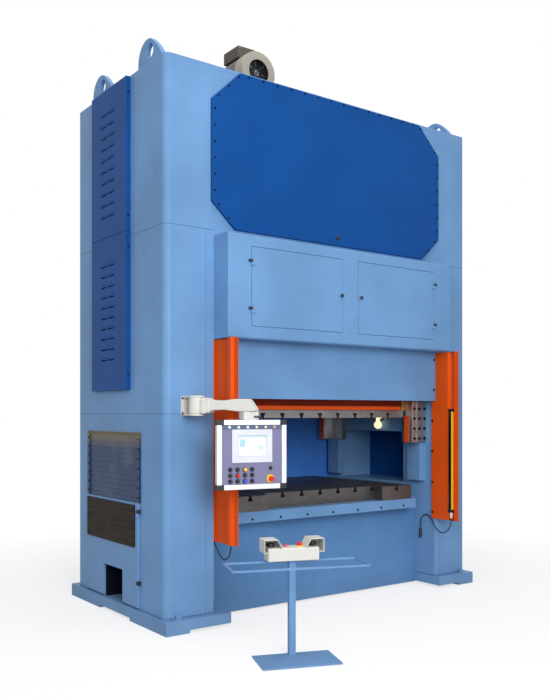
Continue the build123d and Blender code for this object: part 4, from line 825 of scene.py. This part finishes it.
def grille_tree():
    """Wire rings on two crossing bars, over a round mouth that faces the front."""
    points, finish, mouth, thickness = blank_tree("wire_grille", mouth="Float", thickness="Float")
    section = points.node("GeometryNodeCurvePrimitiveCircle", Resolution=8, Radius=thickness)
    wires = [points.node("GeometryNodeCurvePrimitiveCircle", Resolution=36, Radius=mouth * share)
             for share in (1.0, 0.8, 0.6, 0.4, 0.2)]
    reach = points.node("ShaderNodeCombineXYZ", X=mouth)
    back = points.node("ShaderNodeVectorMath", {"operation": "SCALE"}, i0=reach, Scale=-1)
    bar = points.node("GeometryNodeCurvePrimitiveLine", Start=reach, End=back)
    for turn in (45, 135):
        wires.append(points.node("GeometryNodeTransform", Geometry=bar, Rotation=(0, 0, radians(turn))))
    gather = points.node("GeometryNodeJoinGeometry", i0=wires)
    tube = points.node("GeometryNodeCurveToMesh", Curve=gather, Profile_Curve=section, Fill_Caps=True)
    upright = points.node("GeometryNodeTransform", Geometry=tube, Rotation=(radians(90), 0, 0))
    return close_tree(points, finish, upright)


cowl_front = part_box("motor_cowl")[0].y


def on_motor(back):
    """A point of the motor's axis, so far behind the front of the cowl."""
    return (-0.62, cowl_front + back, 4.82)


made_by(grille_tree(), "cowl_grille", "frame", "motor_grey", [(on_motor(0.004), forward)], mouth=0.1085,
        thickness=0.0026, finish=black_bolt)
fan = ((150, 0), (152, 4), (150, 8), (62, 12), (56, 22), (40, 26), (22, 27))
turned("motor_fan", "motor_rotor", "motor_grey", black_plastic, fan, on_motor(0.075), forward, 40)
rib = ((176.5, 0), (181.5, 1.5), (181.5, 7.5), (176.5, 9))
rib_start, rib_pitch = 0.014, 0.020
for index in range(6):
    rib_place = on_motor(rib_start + index * rib_pitch)
    turned(f"cowl_rib_{index + 1}", "frame", "motor_grey", motor_enamel, rib, rib_place, backward, 48, True)


# Panel arm: a bracket on the left column and a folded box arm that swings on it, in warm white enamel.
# Two collars clasp the bar beside its hub, and a black lever clamps the panel's neck.
white_enamel = enamel("white_enamel", linear(208, 207, 200), gloss=0.40, cloud=0.02, peel=0.06)
white_paint = ("light_grey_paint", white_enamel)
eased("arm_bracket", *white_paint, 0.004)
panel_turn = radians(12)
panel_right = Vector((cos(panel_turn), -sin(panel_turn), 0))
panel_out = Vector((-sin(panel_turn), -cos(panel_turn), 0))
panel_middle = Vector(metres(-1311.27, -1392.48, 1428.5))
arm_turn = radians(-57.6)
arm_way = Vector((cos(arm_turn), sin(arm_turn), 0))
arm_across = Vector((-sin(arm_turn), cos(arm_turn), 0))


def on_panel(x, y, out):
    """A point of the panel: along it, up it and out of it from its middle, in millimetres."""
    return panel_middle + panel_right * (x / 1000) + Vector((0, 0, y / 1000)) + panel_out * (out / 1000)


def panel_plate(name, slot, finish, x, y, out, ease):
    """A plate on the panel between limits along, up and out of it, in millimetres, with eased edges."""
    return plate(name, slot, finish, (x, y, out), ease / 1000, "panel", on_panel)


def on_arm(x, z, out):
    """A point of the arm: along it from the panel's neck, its height, and across it, in millimetres."""
    foot = Vector((panel_middle.x, panel_middle.y, z / 1000))
    return foot + arm_way * (x / 1000) + arm_across * (out / 1000)


arm_outline = ((-420, 1752), (-420, 1852), (-335, 1851), (-270, 1843), (-190, 1842), (-125, 1850),
               (-90, 1853), (2, 1853), (58, 1776), (58, 1757), (-84, 1757), (-125, 1762), (-190, 1769),
               (-270, 1769), (-335, 1756))
arm_bar = cut_plate("arm_bar", "arm", *white_paint, arm_outline, on_arm, -46, 46, 0.006)
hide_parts("swing_arm")
hub_outline = ((25.5, 0), (56, 0), (61.5, 5), (61.5, 124), (56, 129), (25.5, 129))
hub_place = metres(-1554, -1010, 1737.5)
turned("arm_hub", "arm", *white_paint, hub_outline, hub_place, upward, 48, True)
arm_middle = 1802
for collar_name, start, end, half in (("wide", -388, -346, 62), ("narrow", -345, -322, 55)):
    low, high = arm_middle - half, arm_middle + half
    cut_plate(collar_name + "_collar", "arm", *white_paint,
              [(start, low), (start, high), (end, high), (end, low)], on_arm, 6 - half, half - 6, 0.006)
panel_plate("neck_housing", *white_paint, (-66, 58), (263.6, 327), (-46, 46), 5)
bracket_face, bracket_columns, bracket_rows = -0.876, (-1.6035, -1.5045), (1.741, 1.863)
bracket_screws = [((x, bracket_face, z), forward) for x in bracket_columns for z in bracket_rows]
screws("bracket_screws", bracket_screws, 8, 7, 10, 1.2)
lever = ((9, 0), (10, 4), (7.5, 10), (6.5, 36), (8.5, 46), (8.5, 52), (6, 56))
lever_place, lever_way = on_panel(20, 287, 44), panel_right * 0.94 + panel_out * 0.3
turned("neck_lever", "panel", *black_part, lever, lever_place, lever_way, 16)


# Control panel: a sheet case in white enamel inside a frame of anodised profiles joined by black corner
# caps, with a violet-grey face plate.
eased("panel_case", *white_paint, 0.003, "panel")
anodised = brushed("anodised_frame", linear(226, 228, 232), 0.34, (6, 6, 0.8), 30, 0.05,
                   (180, 180, 182), 0.07)
eased("panel_frame", "frame_aluminium", anodised, 0.003, "panel", 3)
for side, hand in both_sides:
    for end, end_name in ((-1, "lower"), (1, "upper")):
        panel_plate(f"{end_name}_{hand}_corner_cap", *black_part, (side * 228, side * 286.2),
                    (end * 222, end * 264.4), (5, 61.2), 5)
face_paint = enamel("face_paint", linear(122, 121, 152), gloss=0.46, cloud=0.03, peel=0.08)
face_plate = panel_plate("face_plate", "face_grey", face_paint, (-250, 250), (-229, 229), (36.3, 52), 1)
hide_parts("panel_face")


# Panel fittings: six pilot lamps on a darker strip, push buttons in black collars, a key switch, and a
# red stop button on a yellow ring.
strip_paint = enamel("strip_paint", linear(98, 104, 130), gloss=0.46, cloud=0.03, peel=0.08)
panel_plate("lamp_strip", "face_grey", strip_paint, (-246, 246), (190, 226.5), (51.5, 52.8), 0.5)
face_out = 52
button_columns, button_rows = (-178, -119, -60, -1), (-112, -156, -200)
moving_buttons = {(-60, -112): "start", (-119, -156): "off", (-60, -200): "reset"}
collar_ring = ((15.2, 0), (18, 0), (18, 7.8), (16.8, 9), (15.2, 9))
for (x, y), button_name in moving_buttons.items():
    turned(button_name + "_collar", "panel", *black_part, collar_ring, on_panel(x, y, face_out), panel_out,
           28, True)
fixed_places = [(on_panel(x, y, face_out), panel_out) for x in button_columns for y in button_rows
                if (x, y) not in moving_buttons]
fasten("button_collars", "panel", *black_part, fixed_places, 18, 9, 28, 0.9)
fasten("black_buttons", "panel", *black_part, fixed_places, 14, 19, 24, 0.9)


def lens(name, colour, glow):
    """A lit plastic lens with fine facets."""
    made, place = blank_finish(name)
    facets = place.node("ShaderNodeTexVoronoi", Vector=place, Scale=420.0)
    shown = facets.band(0.1, 0.7).mix(times(colour, 0.8), colour)
    return close_finish(made, Base_Color=shown, Roughness=0.14 + facets * 0.1, Emission_Color=shown,
                        Emission_Strength=glow)


lens_outline = ((10, 0), (10, 6), (8.8, 9), (5.5, 10.3), (2, 10.6))
bezel_outline = ((13, 0), (13, 3.5), (12, 4.5), (9.8, 4.5))
lens_white = lens("lens_white", linear(206, 230, 236), 0.2)
lens_yellow = lens("lens_yellow", linear(222, 216, 150), 0.15)
lens_orange = lens("lens_orange", linear(206, 150, 132), 0.12)
pilot_lamps = ((-185, lens_white), (-111, lens_white), (-37, lens_white), (37, lens_yellow),
               (111, lens_yellow), (185, lens_orange))
for number, (x, glass) in enumerate(pilot_lamps, 1):
    pilot_place = on_panel(x, 208.5, face_out)
    turned(f"pilot_lamp_{number}", "panel", "lamp_glass", glass, lens_outline, pilot_place, panel_out, 20)
    turned(f"pilot_bezel_{number}", "panel", "steel", plated_bolt, bezel_outline, pilot_place, panel_out, 20)
yellow_part = ("yellow_plastic", plastic("yellow_plastic", linear(238, 190, 40), 0.34))
red_part = ("red_plastic", plastic("red_plastic", linear(206, 36, 30), 0.3))
blue_part = ("blue_plastic", plastic("blue_plastic", linear(52, 92, 190), 0.32))
for button, part in (("start_button", yellow_part), ("off_button", red_part), ("reset_button", blue_part),
                     ("panel_stop", red_part)):
    eased(button, *part, 0.0015, button)
eased("key_switch", "steel", black_plastic, 0.001, "key_switch")
ring_outline = ((32, 0), (32, 6), (29, 9.5), (21, 10.2))
stop_place, key_place = on_panel(150, -186, face_out), on_panel(150, -104, face_out)
turned("stop_ring", "panel", *yellow_part, ring_outline, stop_place, panel_out, 36)
key_outline = ((17.5, 0), (17.5, 4), (15.5, 6.5), (14.6, 6.5))
turned("key_bezel", "panel", "steel", plated_bolt, key_outline, key_place, panel_out, 28)


# Touch screen: a pale moulded bezel round a lit display. The display shows plain fields only: a header,
# a blue field, ruled rows, a dial and a row of keys.
bezel_plastic = plastic("bezel_plastic", linear(210, 212, 222), 0.4, 220)
eased("screen_bezel", "face_grey", bezel_plastic, 0.002, "panel")
lit_screen, place = blank_finish("lit_screen")
on_screen = place.node("ShaderNodeMapping", Vector=place, Rotation=(0, 0, panel_turn),
                       Location=(0.99305, 1.6346, -1.494))
across, up = on_screen.axis(0), on_screen.axis(2)
header = up.near(0.068, 0.009)
field = across.near(-0.079, 0.024) * up.near(0.022, 0.030)
rule_wave = up.math("FRACT", up / 0.011 + 20.0)
rules = rule_wave.near(0.5, 0.10) * across.near(0.0, 0.038) * up.near(0.018, 0.034)
dial_x, dial_y = across - 0.074, up + 0.012
dial = up.math("SQRT", dial_x * dial_x + dial_y * dial_y).near(0.012, 0.010)
keys = up.near(-0.068, 0.008) * up.math("FRACT", across / 0.036 + 20.0).near(0.5, 0.42)
border = 1 - across.near(0.0, 0.1095) * up.near(0.0, 0.0765)
shown = up.band(-0.08, 0.08).mix(linear(226, 238, 246), linear(246, 250, 252))
for mark, share, colour in ((header, 0.8, (176, 200, 222)), (field, 0.85, (134, 188, 236)),
                            (rules, 0.6, (158, 178, 196)), (dial, 0.75, (150, 198, 226)),
                            (keys, 0.5, (196, 212, 226)), (border, 0.8, (122, 140, 158))):
    shown = (mark * share).mix(shown, linear(*colour))
close_finish(lit_screen, Base_Color=shown, Roughness=0.16 + header * 0.02, Emission_Color=shown,
             Emission_Strength=0.12)
coated("screen", lit_screen)


# Control stand: a floor plate, a square post and a bent guard hoop, welded and sprayed with the frame.
# It stands by itself in front of the press, turned a little to the left.
eased("control_stand", *frame_paint, 0.003)
stand_place, stand_turn = Vector(metres(-1335, -2017, 0)), radians(21)
stand_right = Vector((cos(stand_turn), -sin(stand_turn), 0))
stand_back = Vector((sin(stand_turn), cos(stand_turn), 0))


# Console: a cast light-metal box in white enamel with a hooded horn at each end. A mushroom palm button
# sits under each hood, and a stop button and a small button between them.
def on_console(x, z, y):
    """A point of the console: along it, its height, and its distance towards the press, in millimetres."""
    return stand_place + stand_right * (x / 1000) + stand_back * (y / 1000) + Vector((0, 0, z / 1000))


box_outline = [(-190, 690), (190, 690), (190, 786), (-190, 786)]
console_box = cut_plate("console_box", "frame", *white_paint, box_outline, on_console, 65.5, 195.5, 0.008)
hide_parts("console")
for side, hand in both_sides:
    outer = [(side * x, z) for x, z in ((188, 752), (222, 752), (222, 848), (120, 848), (88, 786.5))]
    inner = [(side * x, z)
             for x, z in ((92.8, 786.5), (122.5, 843.5), (217.5, 843.5), (217.5, 756.5), (188, 756.5))]
    cut_plate(hand + "_hood", "frame", *white_paint, outer + inner, on_console, 50, 200, 0.0015)
    back_outline = [(side * 188, 786.5), (side * 188, 756)] + inner[3::-1]
    cut_plate(hand + "_hood_back", "frame", *white_paint, back_outline, on_console, 195.6, 199.5, 0.001)
    palm_button = hand + "_palm_button"
    eased(palm_button, *black_part, 0.001, palm_button)
eased("console_stop", *red_part, 0.001, "console_stop")
ring_place, button_place = on_console(58, 786, 130.5), on_console(-50, 786, 130.5)
console_ring = ((32, 0), (32, 3), (29.5, 5.5), (21, 5.5))
turned("console_ring", "frame", *yellow_part, console_ring, ring_place, upward, 36)
small_button = ((15, 0), (15, 4), (12.5, 5.5), (11.5, 5.5), (11.5, 13), (9.5, 15.5), (4, 16.5))
turned("small_button", "frame", *red_part, small_button, button_place, upward, 24)
